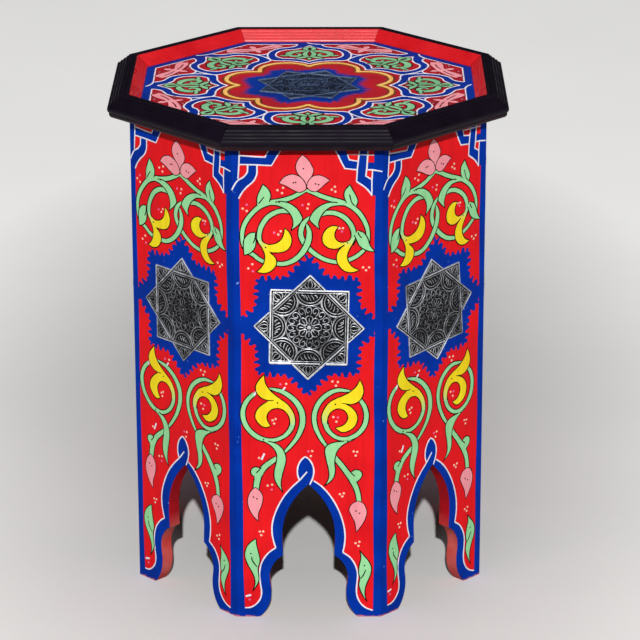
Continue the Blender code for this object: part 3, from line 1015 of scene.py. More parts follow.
# %% Red field, arch border and drop
STRIPES = (-67.2, 66.5)
FIELD_TOP = 508.0
EDGE_FOOT = 60.0
EDGE_STEPS = 24
EDGE_SWAY = 0.5
LEFT_STRIDE = 31
RIGHT_STRIDE = 23
LEFT_BORDER = shape(
    ((-66, 10.2), (-60, 10.8), (-54.5, 14.3), (-50, 20.5), (-48.7, 28), (-49.7, 37), (-50.6, 46.5),
     (-49.8, 56), (-46.5, 65), (-40.5, 72.8), (-33.7, 77.8)),
    ((-33.7, 77.8), (-35.6, 84), (-37.3, 93), (-37.3, 103), (-35.2, 113), (-31, 124), (-25, 135),
     (-17.5, 144.5), (-9, 152.8)),
)
RIGHT_BORDER = shape(
    ((66, 7.3), (59.5, 9.8), (54, 14.5), (50.3, 21.5), (49, 30), (49.8, 40), (50.2, 49), (47.8, 58.5),
     (42.5, 67), (35, 72.7)),
    ((35, 72.7), (36.5, 80), (37.3, 90), (36.3, 101), (33.2, 113), (28.3, 125), (21.5, 136.5),
     (13.5, 146), (5.3, 152.3)),
)
DROP = shape(
    ((-9, 152.8), (-11, 159), (-10.8, 167), (-8, 174), (-3.5, 178.8)),
    ((-3.5, 178.8), (1, 175.5), (4.5, 169), (5.5, 162), (4.3, 155), (1.3, 148)),
)
DROP_CROSSING = flow(((-9, 152.8), (-5.5, 157), (-1.3, 162.3)))


def field_outline():
    """The red field of a panel, its two sides a little unsteady."""
    right_down = [run[::-1] for run in reversed(RIGHT_BORDER)]
    rises = [EDGE_FOOT + (FIELD_TOP - EDGE_FOOT) * step / EDGE_STEPS for step in range(EDGE_STEPS + 1)]
    right = [(STRIPES[1] + EDGE_SWAY * math.sin(z / RIGHT_STRIDE), z) for z in rises]
    left = [(STRIPES[0] - EDGE_SWAY * math.sin(z / LEFT_STRIDE + 1), z) for z in reversed(rises)]
    return LEFT_BORDER + right_down + [right, left]


add_films("red_field", [(field_outline(), RED_TOP)], RED, ON_PANELS)

# %% [markdown]
# ## Blue halo and strapwork
# Behind each star the painter laid a blue star with a wavy edge, and in the top corners a piece of
# strapwork: blue bands between white lines. The wavy edge follows a rule, so it is worked out: walk along
# the sides of an eight-pointed star and step out and in at an even pitch.

# %% Halo outline and blue layers
STAR_HEIGHT = 319.5
HALO_TIPS = (76.0, 72.0, 75.5, 72.0, 74.0, 72.0, 75.5, 72.0)
HALO_NOTCH = 56.5
HALO_REACH = 72.0
TOOTH_PITCH = 7.6
TOOTH_DEPTH = 2.4
TOOTH_STEPS = 8
TOOTH_SQUARE = 2.6
TOOTH_LEAN = 0.25
CORNER_PRESS = 0.2
CORNER_SLOPE = 6
# The hand is uneven in (how much, how fast along a side, the shift from side to side).
TOOTH_SWAY = (0.018, 5 * math.pi, 2.1)
TOOTH_PRESS = (0.3, 9, 1.7)


def star_corners(tips, notch, tilt=0.0):
    """The corners of an eight-pointed star, by turns at a tip and in a notch."""
    corners = []
    for step in range(2 * SIDES):
        radius = notch if step % 2 else tips[step // 2]
        angle = tilt + step * MITRE_ANGLE
        corners.append((radius * math.cos(angle), radius * math.sin(angle)))
    return corners


def uneven(share, side, most, pace, shift):
    """How far the hand is off at a share of a side of the star."""
    return most * math.sin(pace * share + shift * side)


def halo_outline():
    """The wavy edge of the blue star as one closed run, cut off at the corner stripes."""
    corners = star_corners(HALO_TIPS, HALO_NOTCH, math.pi / 2)
    edge = []
    for side, (start, end) in enumerate(zip(corners, corners[1:] + corners[:1])):
        length = math.dist(start, end)
        teeth = max(2, round(length / TOOTH_PITCH))
        along = ((end[0] - start[0]) / length, (end[1] - start[1]) / length)
        for step in range(teeth * TOOTH_STEPS):
            share = step / (teeth * TOOTH_STEPS)
            sway = share + uneven(share, side, *TOOTH_SWAY)
            press = TOOTH_DEPTH * (1 + uneven(share, side, *TOOTH_PRESS))
            press *= min(1.0, CORNER_PRESS + CORNER_SLOPE * share * (1 - share))
            wave = math.tanh(TOOTH_SQUARE * (TOOTH_LEAN + math.sin(2 * math.pi * sway * teeth))) * press
            x = start[0] + (end[0] - start[0]) * share + along[1] * wave
            y = start[1] + (end[1] - start[1]) * share - along[0] * wave
            edge.append((max(-HALO_REACH, min(HALO_REACH, x)), STAR_HEIGHT + y))
    return [edge]


LEFT_BEND_OUT = flow(((-58.6, 488.6), (-58.8, 484), (-59.4, 480.5), (-63, 476), (-68.6, 472.4),
                      (-72.4, 466.9), (-74.5, 462.6)))
LEFT_BEND_IN = flow(((-49.6, 488.3), (-49.5, 482), (-50.2, 477.5), (-53.2, 471.7), (-59.7, 465.7),
                     (-64.3, 460.2), (-67.8, 453.8)))
RIGHT_BEND = flow(((48.4, 471.4), (56.4, 465.7), (60.5, 461.5), (63.5, 457)))
STRAP_BANDS = (
    ((-67.5, 489), (-35.2, 487.8), (-23.6, 508), (-36.2, 508), (-41.5, 496.5), (-50.7, 496.9),
     (-67.5, 498.3)),
    (*LEFT_BEND_OUT, (-72, 454), *LEFT_BEND_IN[::-1]),
    ((24.8, 508), (30.4, 498.3), (33.4, 491.4), (36.7, 484.9), (49.2, 483.4), (49.2, 492.3),
     (41.3, 493.7), (39.4, 499.4), (36.5, 508)),
    ((51.4, 508), (50.8, 499.4), (49.2, 485.1), *RIGHT_BEND, (63.5, 473.4), (57.4, 477.1),
     (58.5, 485.1), (59.3, 498.8), (59.8, 508)),
    ((63.6, 457), (70, 457), (70, 508), (65.8, 508), (65.6, 491), (59, 491), (58.6, 483.4),
     (64.2, 483.4)),
)
straps = [([band], BLUE_TOP) for band in STRAP_BANDS] + [(DROP, BLUE_TOP)]
add_films("blue_straps", straps, BLUE, ON_PANELS)
add_films("blue_halos", [(halo_outline(), BLUE_TOP)], BLUE, FREEHAND)

# %% [markdown]
# ## Mint vines
# Two vines leave the flower, ring the yellow flames and cross above the star; below the star two more
# curl up from the feet. A strand is given by its middle line and how wide the brush was there. Leaves and
# blades are shapes of two runs that meet in a point. The necks fill in, without an outline, where a knob
# grows out of its branch.

# %% Vines, blades and leaves
MINT_SHAPES = (
    (0, strand(
        (-1, 462.5, 1.6), (7, 459.5, 2.2), (15, 456, 2.4), (24, 453, 2.4), (33, 450.5, 2.4),
        (42, 446.5, 2.5), (50, 440, 2.5), (56, 431, 2.4), (59.3, 422, 2.2), (60, 414, 2.0),
        (59, 406, 2.0), (55, 399.5, 2.0), (48, 393.5, 2.2), (41, 390, 2.2), (34, 388, 2.2),
        (26, 388, 2.2), (17, 390.5, 2.3), (9, 395, 2.4), (2.5, 400.5, 2.5), (-3, 407, 2.6),
        (-6.3, 414, 2.6), (-6.5, 421, 2.6), (-4, 428, 2.5), (0.5, 433.5, 1.5), (1.5, 435.5, 0.4))),
    (1, strand(
        (-1.5, 462.5, 1.6), (-8, 459, 2.2), (-17, 454.5, 2.4), (-28, 451.5, 2.4), (-38, 449.5, 2.6),
        (-48, 445, 2.5), (-57, 436, 2.4), (-62.5, 427, 2.4), (-64.8, 417, 2.2), (-64, 407, 2.0),
        (-60, 399, 2.0), (-54, 395.5, 2.2), (-48, 390.5, 2.2), (-41, 387.5, 2.2), (-32, 386.3, 2.3),
        (-23, 386, 2.4), (-14, 389.5, 2.6), (-7, 395.5, 2.8), (-2, 403, 3.0), (1, 411, 3.0),
        (1.5, 419, 2.6), (-0.2, 425.5, 1.5), (-1.2, 428, 0.4))),
    (0, strand(
        (-15.5, 440, 2.4), (-22, 441.2, 2.5), (-29, 440.5, 2.5), (-37, 436.5, 2.6), (-43, 430, 2.6),
        (-46.8, 422, 2.5), (-48, 414, 2.4), (-46.5, 407, 2.4))),
    (0, strand(
        (13.5, 437.5, 2.2), (20, 439.2, 2.4), (28, 438.5, 2.5), (36, 434.5, 2.6), (42, 428, 2.6),
        (45.3, 420, 2.5), (45.3, 412, 2.3), (43, 406, 2.2))),
    (2, shape(
        ((-30, 450.8), (-25, 451), (-18, 449.3), (-11, 444.5), (-6.5, 438), (-5, 432.5), (-8.5, 427),
         (-16.5, 420.5)),
        ((-16.5, 420.5), (-14.5, 427), (-15, 433), (-18, 439), (-23, 443.5), (-30, 446.5), (-38, 447)))),
    (2, shape(
        ((30, 449.6), (25, 450.2), (18, 449.2), (9.5, 444.5), (4, 438), (2, 432.5), (5.5, 427.5),
         (12, 422)),
        ((12, 422), (11, 428), (13, 434.5), (17, 440.5), (23, 445), (31, 446.6), (38, 446)))),
    (2, shape(
        ((-50, 447), (-49.8, 455), (-47.3, 462), (-43.8, 469)),
        ((-43.8, 469), (-38.6, 464), (-36, 457.5), (-37.5, 450.5)))),
    (2, shape(
        ((38.5, 449.5), (36, 456), (37, 462.5), (42, 468.5)),
        ((42, 468.5), (45.3, 462), (49, 455), (49.8, 450), (48, 446)))),
    (2, shape(
        ((-51.5, 419), (-57.5, 418), (-62.5, 412.5), (-63.8, 405.5), (-63, 394.8)),
        ((-63, 394.8), (-57, 397), (-52.3, 402.5), (-51, 409.5), (-51.5, 419)))),
    (2, shape(
        ((50, 420.8), (55.5, 418.8), (59.5, 413), (62, 405.5), (67, 398.2)),
        ((67, 398.2), (58, 400), (51.5, 404.5), (48.3, 411), (46.3, 416)))),
    (0, strand(
        (-54, 247.5, 2.2), (-60.5, 241.5, 2.4), (-65, 233, 2.5), (-66, 223.5, 2.6), (-63.5, 214, 2.6),
        (-58, 206, 2.6), (-50.5, 200, 2.6), (-42, 197, 2.4), (-34, 197.2, 2.2), (-26.5, 200, 2.2),
        (-20.5, 205, 2.4), (-16.8, 211.5, 2.6), (-15.5, 219, 2.8))),
    (0, strand(
        (-39, 253.3, 0.8), (-34, 252, 1.8), (-26, 249.5, 2.4), (-17, 243.5, 2.7), (-9.5, 234.5, 2.9),
        (-6, 224.5, 3.0), (-6, 214.5, 2.9), (-8.8, 205, 2.6), (-13.5, 196.5, 2.2), (-19, 189.5, 2.0),
        (-23.5, 184.5, 1.6), (-27.5, 180, 1.4))),
    (1, shape(
        ((-47, 196.3), (-41, 193), (-35.5, 188), (-32.3, 181.5), (-32.5, 174), (-34.5, 165),
         (-35, 157), (-32.5, 149), (-26, 139.3)),
        ((-26, 139.3), (-27.8, 148), (-26.8, 157), (-24.8, 165), (-22.8, 173), (-23, 180.5),
         (-26, 187.5), (-31, 192.5), (-36, 194.8), (-41, 195.8)))),
    (0, strand(
        (-32, 177, 2.6), (-38, 173, 2.8), (-44.5, 167.5, 3.0), (-49.5, 160.5, 3.2), (-52.2, 152, 3.1),
        (-53.4, 143, 2.9))),
    (1, knob(-53.3, 162.3, 5.5, 41, 254)),
    (1, shape(
        ((-53.8, 88.3), (-53, 80), (-51, 71), (-50, 63), (-52, 55), (-51.3, 46), (-52, 38.5),
         (-57.8, 29)),
        ((-57.8, 29), (-55.5, 37), (-56, 44.5), (-59.5, 53), (-63.5, 61), (-65.7, 70), (-63.8, 78.5),
         (-59.3, 84.5), (-53.8, 88.3)))),
    (0, strand(
        (50.5, 243, 2.0), (54.3, 238, 2.3), (57.5, 231.5, 2.5), (58.8, 222.5, 2.6), (56.8, 213, 2.6),
        (51.8, 205.5, 2.5), (45, 200.5, 2.4), (37.5, 198.3, 2.2), (30, 199.3, 2.2),
        (23.5, 203.5, 2.3), (18.8, 210, 2.5), (16.8, 218, 2.7))),
    (0, strand(
        (43, 250.3, 0.8), (37.5, 250.8, 1.8), (30, 251.3, 2.2), (22, 248.3, 2.5), (13.8, 241.5, 2.6),
        (8.3, 232.5, 2.6), (6, 222.5, 2.5), (7, 212.5, 2.4), (10.3, 203.5, 2.2), (14.8, 195.5, 2.0),
        (19.5, 189, 1.6))),
    (1, shape(
        ((36, 195.6), (30, 195.3), (23.5, 193.9), (18, 190.3), (16.6, 184), (18.3, 174), (20.3, 165),
         (20.7, 157), (18.5, 150.5), (15.3, 146.3)),
        ((15.3, 146.3), (21.5, 150.5), (26, 156.5), (27.4, 164), (26.8, 173), (28.2, 181.5),
         (31.5, 188), (38, 193.5), (47, 197.8)))),
    (0, strand(
        (27, 178, 2.6), (32, 171.5, 2.7), (37.5, 164, 2.8), (43, 155.5, 2.9), (47.5, 147, 2.8),
        (50.3, 138.5, 2.6), (51.6, 129.5, 2.5))),
    (1, shape(
        ((43, 161.6), (46, 163.9), (49, 164.7), (52.3, 163.8), (54.3, 161.6), (54.8, 158.6),
         (53.2, 154.8), (50.5, 152.2), (48.6, 150.7)))),
    (1, shape(
        ((52.3, 75), (53.5, 67), (51.8, 58), (51.2, 50), (52.5, 43.5), (51.5, 36.5), (54, 27.5),
         (60, 17)),
        ((60, 17), (58, 25), (58.3, 33), (61, 41), (64, 49), (64.3, 57), (61, 64), (56.5, 69.5),
         (52.3, 75)))),
)
NECKS = (
    (3, [[(-47.8, 167.1), (-53.3, 162.3), (-55, 156.6), (-54.4, 153.5), (-51, 153), (-46, 160)]]),
    (3, [[(43, 161.6), (48.6, 150.7), (45.5, 150.5), (39.5, 160.5)]]),
)


def layered(shapes):
    """Films of (runs, top) from shapes of (level, runs)."""
    return [(runs, LEVEL_TOPS[level]) for level, runs in shapes]


add_films("mint_vines", layered(MINT_SHAPES + NECKS), MINT, FREEHAND)

# %% [markdown]
# ## Yellow flames and pink petals
# The vines end in yellow flames, a crescent and a tail, and in pink flowers and buds. Where a flame grows
# out of a vine its outline stays open, the bridges fill in, and the wet yellow fades to mint.

# %% Flames, petals and buds
YELLOW_SHAPES = (
    (1, shape(
        ((-22.7, 423.5), (-18, 419), (-15.6, 412), (-16.8, 404.5), (-21.5, 399.3), (-28.5, 397.5),
         (-35, 397.6), (-41.3, 399.0)),
        ((-45.7, 412.8), (-44, 408.8), (-38.5, 406.3), (-31.5, 407.5), (-26, 411.8), (-23.8, 417.5),
         (-22.7, 423.5)))),
    (2, shape(
        ((-49.8, 411), (-48.8, 408), (-45.5, 402.5), (-42.8, 395.5), (-43.2, 388.5), (-46, 382.5),
         (-51, 377.5)),
        ((-51, 377.5), (-44, 375.8), (-37, 377.8), (-32, 383), (-30.8, 389.5), (-33.5, 394.6),
         (-37, 397.3)))),
    (1, shape(
        ((31, 425), (24.5, 425.8), (18, 421.8), (14.5, 414.5), (15.3, 407.5), (19.5, 403),
         (25.5, 401.2), (31, 402.2), (37, 405.8)),
        ((43, 413.6), (41.8, 411.2), (39.5, 409.8), (34, 408.5), (29.5, 410.3), (27, 415),
         (28, 420.5), (31, 425)))),
    (2, shape(
        ((47.2, 412), (45, 407), (41, 399.5), (39.5, 393.5), (41, 387.5), (45, 382.5), (51.5, 379.3)),
        ((51.5, 379.3), (46, 377), (39.5, 377), (33.5, 380.5), (29.5, 386.5), (28.5, 393.5),
         (31, 400.5), (36.5, 405.5)))),
    (1, shape(
        ((-29, 242.8), (-34, 247), (-40, 253.5), (-43.3, 261), (-43.8, 268.5)),
        ((-43.8, 268.5), (-49.5, 262.5), (-53, 255.5), (-52, 248.5), (-47.5, 243), (-41, 240.2),
         (-34.5, 240.2)))),
    (3, shape(
        ((-29, 242.8), (-21, 236.5), (-15.3, 228.5), (-12.8, 219.5), (-13.2, 213.5)),
        ((-18.5, 213), (-19.3, 221), (-23, 227.8), (-29.5, 231.4), (-36.5, 230.3), (-41, 225.3),
         (-41.3, 219), (-37.8, 212.3)),
        ((-37.8, 212.3), (-43.5, 210.8), (-50, 214.5), (-53.8, 222), (-52.2, 229.5), (-46.5, 235.8),
         (-41, 239)))),
    (1, shape(
        ((30, 243.3), (36, 245.8), (42.5, 249.8), (48.3, 255.5), (52.2, 262.8)),
        ((52.2, 262.8), (55.3, 256), (56, 248.5), (53.5, 241.8), (48.5, 237.3), (42, 235.8),
         (34, 237.3)))),
    (3, shape(
        ((30, 243.3), (22, 238.8), (16.3, 231.5), (13.3, 222.5), (14, 215.5)),
        ((19.3, 214.5), (20, 221.5), (23.5, 227.8), (29.5, 231), (35.8, 229.5), (39.6, 224.3),
         (39, 217.8), (34.5, 213), (27, 210.5)),
        ((27, 210.5), (33, 205.8), (40, 206.5), (46.8, 211.5), (50, 219.5), (48.3, 227.5),
         (43, 233.5), (38, 236.2)))),
)
PINK_SHAPES = (
    (0, shape(
        ((-1.2, 466), (-5, 474), (-9.8, 480), (-11.6, 487), (-9, 494.5), (-4.5, 499)),
        ((-4.5, 499), (0.5, 494.5), (4.5, 488), (6.2, 482), (3, 474), (-1.2, 466)))),
    (2, shape(
        ((-28, 469.8), (-23.5, 475.8), (-16.5, 479), (-9.5, 477.8), (-4, 473.3), (-1.2, 467.5),
         (-1.2, 464)),
        ((-1.2, 464), (-4.5, 461.2), (-9, 460.4), (-14.5, 463), (-21, 466.8), (-28, 469.8)))),
    (3, shape(
        ((22.3, 472.8), (17.5, 476.2), (10.5, 478.3), (4, 476), (0.3, 470.8), (-0.8, 466)),
        ((-0.8, 466), (2.5, 462.3), (7.5, 461), (11.5, 463), (16.5, 467.8), (22.3, 472.8)))),
    (1, shape(
        ((-53.5, 145), (-48.3, 140), (-46.3, 133), (-48, 124.5), (-51, 116.5), (-51.5, 107.5)),
        ((-51.5, 107.5), (-56.5, 113.5), (-60.5, 121), (-62.3, 130), (-60.2, 138.5), (-56.5, 143.8),
         (-53.5, 145)))),
    (1, shape(
        ((50.5, 130.3), (44.3, 127), (41.3, 120.5), (43.8, 113.5), (47, 106.5), (48.8, 95.3)),
        ((48.8, 95.3), (53.8, 102), (58, 110), (59.6, 118.5), (56.5, 127), (50.5, 130.3)))),
)
BRIDGES = (
    (3, [[(-45.7, 412.8), (-49.8, 412), (-45.5, 402.5), (-40.5, 400.5), (-36, 402), (-39, 405.6),
          (-43.8, 408)]]),
    (3, [[(43, 413.6), (36, 404.5), (37, 401), (42, 402), (47.2, 412.2)]]),
)
WET_SPOTS = ((-48.5, 414.5), (46, 415), (-15.6, 211.5), (16.6, 212.5))
add_films("yellow_flames", layered(YELLOW_SHAPES + BRIDGES), YELLOW, FREEHAND, WET_SPOTS)
add_films("pink_petals", layered(PINK_SHAPES), PINK, FREEHAND)

# %% [markdown]
# ## White and black lines
# White borders came before the vines, black outlines last of all. Every run of every shape gets its
# outline at the height of its own layer, so a strand that passes below another loses its outline there.

# %% Lining
WHITE_HALF = 0.85
WHITE_TAPER = 0.8
BLACK_HALF = 0.58
PETAL_HALF = 0.45
OUTLINE_TAPER = 0.7
RIB_TAPER = 0.5
TICK_RADIUS = 0.85
STRAP_LINES = (
    LEFT_BEND_OUT,
    LEFT_BEND_IN,
    ((-66.8, 506), (-66.8, 499), (-67.2, 490), (-68.3, 474.2)),
    ((-66.8, 498.2), (-50.7, 496.9), (-41.5, 496.5), (-37, 506)),
    ((-66.8, 489), (-52.5, 488.7), (-35.2, 487.8), (-24.5, 506.5)),
    ((26, 506), (30.4, 498.3), (33.4, 491.4), (36.7, 484.9), (48.9, 483.4)),
    ((65.6, 498.8), (39.4, 499.4), (41.3, 493.7), (49.2, 492.3)),
    ((51.2, 503), (50.8, 499.4), (49.2, 485.1), *RIGHT_BEND),
    ((59.5, 503), (59.3, 498.8), (58.5, 485.1), (57.4, 477.1), (63.5, 473.4)),
    ((59.2, 483.5), (64, 483.4), (73.8, 481.7)),
    ((64.2, 483), (63.5, 472.5), (63.5, 457)),
)
RIBS = (
    ((-48.5, 448.5), (-46, 451.5), (-42.8, 455.8)), ((46.5, 446.5), (43.5, 450.5), (41.5, 458.5)),
    ((-51.7, 417), (-52.2, 412), (-54.3, 407)), ((50, 419), (51, 416), (53.5, 413)),
    ((-58.5, 68), (-58, 64), (-55.5, 60), (-53.2, 56.5)), ((53.3, 43.5), (56.3, 47.5), (58.8, 53.5)),
    ((-53, 161), (-50.5, 163.8), (-47.8, 167)), ((47.2, 157.5), (45, 159.5), (42.8, 161.8)),
)
TICKS = (
    (-4, 484.8), (-13.8, 470.3), (-11.6, 470.6), (8, 469.2), (11, 468.3), (-56, 134.5),
    (-52.6, 132.6), (48.6, 119), (52, 116.6), (-59.3, 71.5), (57.4, 58), (-41.7, 403.2), (39.5, 408),
    (-31, 237.5), (27.5, 236), (-31, 450.3), (-28, 450.2), (-45.3, 197.8), (40, 195.6),
)


def lined(shapes, half, taper):
    """Strokes along every run of some shapes, each at the height of its own layer."""
    return [(run, top, half, taper) for runs, top in layered(shapes) for run in runs]


borders = [*LEFT_BORDER, *RIGHT_BORDER, *DROP, DROP_CROSSING, *STRAP_LINES]
add_lines("white_lining", [(line, BLUE_TOP, WHITE_HALF, WHITE_TAPER) for line in borders], WHITE, ON_PANELS)
ribs = [(flow(rib), LEVEL_TOPS[2], BLACK_HALF, RIB_TAPER) for rib in RIBS]
add_lines("vine_outlines", lined(MINT_SHAPES, BLACK_HALF, OUTLINE_TAPER) + ribs, BLACK_LINE, FREEHAND)
add_lines("flame_outlines", lined(YELLOW_SHAPES, BLACK_HALF, OUTLINE_TAPER), BLACK_LINE, FREEHAND)
add_lines("petal_outlines", lined(PINK_SHAPES, PETAL_HALF, OUTLINE_TAPER), BLACK_LINE, FREEHAND)
add_dots("black_ticks", TICKS, LEVEL_TOPS[2], TICK_RADIUS, BLACK_LINE, FREEHAND)

# %% [markdown]
# ## Dots
# Groups of three dots fill the gaps, most of them cream and some rose, each a touch of the brush's tip
# that dries as a small dome.

# %% Dots of cream and rose
DOT_RADIUS = 1.25
TOUCH_HALF = 1.35
CREAM_DOTS = (
    (-24, 465), (-29.5, 462.5), (-25, 459.5), (27, 466), (24, 463), (27.5, 461), (1, 448), (0, 443.5),
    (-64, 443.5), (-60, 441), (-26.5, 420), (-29, 416.5), (31.5, 423), (35, 423), (-55, 385.5),
    (-59, 381), (55, 382), (61, 382), (58, 379), (-22, 258), (24.5, 260.5), (30, 260), (28, 256),
    (-36, 218.5), (-33, 220), (-34.5, 215), (25.5, 222), (28.5, 217), (4, 185), (2.5, 179.5),
    (-50, 177.5), (46, 184.5), (49.5, 184), (48, 180), (-41.5, 147), (-37, 148), (32, 137.5),
    (36, 138.5), (34.5, 135), (-50, 96), (-46.5, 96), (-48.5, 92), (48, 83), (52, 84.5), (51, 80),
)
ROSE_DOTS = (
    (-5, 447), (-60, 447.5), (-33, 418.5), (34, 419.5), (-54.5, 378), (-28, 257.5), (30, 221.5),
    (0, 184.5), (-37.5, 142.5), (-61, 19.5),
)
TOUCHES = (
    ((-47.5, 175.5), (-44.5, 182.5)), ((-25.5, 251), (-23, 254.5)), ((-65, 23.3), (-59.5, 24.7)),
    ((-54.5, 245.5), (-52, 250.5)),
)
add_dots("cream_dots", CREAM_DOTS, BLUE_TOP, DOT_RADIUS, CREAM, FREEHAND)
add_dots("rose_dots", ROSE_DOTS, BLUE_TOP, DOT_RADIUS, ROSE, FREEHAND)
touches = [(touch, LEVEL_TOPS[0], TOUCH_HALF, WHITE_TAPER) for touch in TOUCHES]
add_lines("white_touches", touches, WHITE, FREEHAND)

# %% [markdown]
# ## Stamped stars
# A star is a thin sheet stamped in a die: two squares laced through each other, a lens of leaves on
# each side of the middle eight-sided field, a leaf in each point, and a rosette ringed by scrolls. All
# of it repeats eight times, so one eighth is drawn as ridges and the round tree turns it about the
# middle of the star.

# %% One eighth of the stamping
STAR_TIP = 56.0
STAR_SIDE = STAR_TIP * math.cos(math.pi / 4)
DIAGONAL = math.sqrt(2)
BAND_WIDTH = 3.9
CROSS_GAP = 0.3
# A line is (distance from the square's edge, half width), an arc (half its chord, depth, half width).
OUTER_LINE = (0.75, 0.8)
INNER_LINE = (3.1, 0.42)
LENS_ARCS = ((14.3, 12.2, 0.5), (11.6, 9.4, 0.36))
LENS_GAP = 0.4
ARC_STEPS = 12
ARC_TAPER = 0.8
LEAF_PLACES = (-6.6, -3.4, -0.2, 3.0, 6.2)
LEAF_FOOT = 28.2
LEAF_BOW = 0.07
LEAF_TIP = 34.2
SCROLL_TURNS = (2.0, 24.5)
RING_RADIUS = 23.1
RING_ANGLES = (0, 11, 22, 33, 45)


def band_runs(offset, half):
    """Ridges along one side of a square, broken where the other square passes over."""
    cross_from = offset + (STAR_SIDE - BAND_WIDTH) * DIAGONAL
    cross_to = offset + (STAR_SIDE + CROSS_GAP) * DIAGONAL
    runs = []
    for span in ((offset, cross_from), (cross_to, STAR_TIP * DIAGONAL - offset)):
        line = [(STAR_TIP - (t + offset) / DIAGONAL, (t - offset) / DIAGONAL) for t in span]
        runs.append((line, half, 1.0))
    return runs


def polar(*points):
    """A smooth line from (radius, angle in degrees)."""
    return flow([(r * math.cos(math.radians(a)), r * math.sin(math.radians(a))) for r, a in points])


def lens_arcs():
    """Double arc of the lens on one side of the middle field."""
    runs = []
    for half_chord, depth, half in LENS_ARCS:
        radius = (half_chord ** 2 + depth ** 2) / (2 * depth)
        reach = math.asin(min(1.0, half_chord / radius))
        centre = STAR_SIDE - BAND_WIDTH - LENS_GAP - depth + radius
        angles = [-reach + 2 * reach * step / ARC_STEPS for step in range(ARC_STEPS + 1)]
        arc = [(centre - radius * math.cos(angle), radius * math.sin(angle)) for angle in angles]
        runs.append((arc, half, ARC_TAPER))
    return runs


def lens_leaves():
    """Slanted leaves that fill the lens."""
    runs = []
    for place in LEAF_PLACES:
        foot = LEAF_FOOT + LEAF_BOW * place * place
        leaf = flow(((foot, place - 0.8), (foot + 2.6, place), (LEAF_TIP, place + 2.2)))
        runs.append((leaf, 0.52, 0.35))
    return runs


def mirrored(runs):
    """Ridges on one side of the line through a point and their mirror images."""
    return runs + [([(x, -y) for x, y in points], half, taper) for points, half, taper in runs]


POINT_LEAF = mirrored([
    (flow(((41, 0.4), (43.4, 2.0), (46.4, 2.0), (50.6, 0.2))), 0.36, 0.5),
    (flow(((41, 1.8), (42.8, 4.6), (45.4, 5.2), (46.8, 4.0))), 0.5, 0.4),
    (flow(((40.8, 4.2), (41.4, 7.4), (43.0, 9.2), (44.4, 8.6))), 0.36, 0.4),
])
SPANDREL = [
    (polar((37.2, 22.5), (33, 22.5), (29.5, 22.5)), 0.42, 0.5),
    (polar((29.5, 22.5), (27, 20), (24.4, 14.5)), 0.36, 0.5),
    (polar((29.5, 22.5), (27, 25), (24.4, 30.5)), 0.36, 0.5),
]
SCROLLS = []
for start in SCROLL_TURNS:
    curl = polar((13.6, start - 8), (17.2, start - 10), (20.8, start - 6), (21.6, start + 2),
                 (19.6, start + 8), (16.6, start + 7), (15.6, start + 1), (17.5, start - 2.5))
    SCROLLS.append((curl, 0.46, 0.55))
PETAL = mirrored([(flow(((3.4, 0), (5.6, 2.1), (8.6, 3.5), (11.4, 2.7), (12.4, 0.4))), 0.44, 0.7)])
PETAL += [(flow(((5.4, 0), (8, 0), (10, 0))), 0.42, 0.4)]
RING = [(polar(*[(RING_RADIUS, angle) for angle in RING_ANGLES]), 0.34, 1.0)]
OUTLINE = band_runs(*OUTER_LINE)
EDGING = band_runs(*INNER_LINE) + lens_arcs() + POINT_LEAF
STAMPING = lens_leaves() + SPANDREL + SCROLLS + PETAL + RING
print("ridges in one eighth:", len(OUTLINE + EDGING + STAMPING))

# %% [markdown]
# The ridges stand on a plate with a rolled edge. The plate is dark with patina, the ridges are rubbed
# bright. One star is made flat at the origin, then a copy is turned and set on each panel and on the
# tray, with the small tilt that the hand that nailed it gave it. The front star's metal is painted
# brighter, as painted highlights of the sun it faced, and the other seven stars' metal darker, as painted
# shade. The front star's lower edges are bent forward a little, so they catch the sun.

# %% Star plaques in place
PLATE_FOOT = 0.3
PLATE_TOP = 1.05
RIDGE_FLATNESS = 0.75
BOSS_RADIUS = 2.4
BOSS_FLATNESS = 0.4
LIP_FLATNESS = 0.5
LIP_TAPER = 0.9
STAR_SHIFT = (1.2, -0.7)
RIGHT_STAR = 1
RIGHT_STAR_SHIFT = (-0.4, -0.7)
STAR_TILTS = (-1.5, 5.0, -2.0, 3.0, 0.0, -3.0, 2.0, 0.0)
TRAY_STAR_TILT = 26.0
FRONT_LIPS = (
    (((-38.6, -38.8), (-17.8, -38.8)), 1.6),
    (((17.8, -38.8), (38.6, -38.8)), 1.6),
    (((-15.8, -39.8), (0, -55.4)), 1.1),
    (((0, -55.4), (15.8, -39.8)), 1.1),
    (((-39, -37), (-39, -17.5)), 1.1),
    (((-39, 17.5), (-39, 37)), 1.1),
)
ORIGIN = (0.0, 0.0, 0.0)
ON_STAR = standing(ORIGIN, ORIGIN)
ONCE_ON_STAR = standing(ORIGIN, ORIGIN, copies=1)


def plate_mesh():
    """The star's plate, its edges in the second finish."""
    corners = star_corners([STAR_TIP] * SIDES, STAR_SIDE / math.cos(MITRE_ANGLE))
    work = bmesh.new()
    for side in slab(work, corners, PLATE_TOP, PLATE_FOOT):
        side.material_index = 1
    return mesh_from(work, "plate")


def ridge_mesh(runs, finish):
    """Ridges of one eighth, turned eight times about the star's middle."""
    strokes = [(points, PLATE_TOP, half, taper) for points, half, taper in runs]
    return brush_mesh(strokes, finish, RIDGE_FLATNESS, ON_STAR)


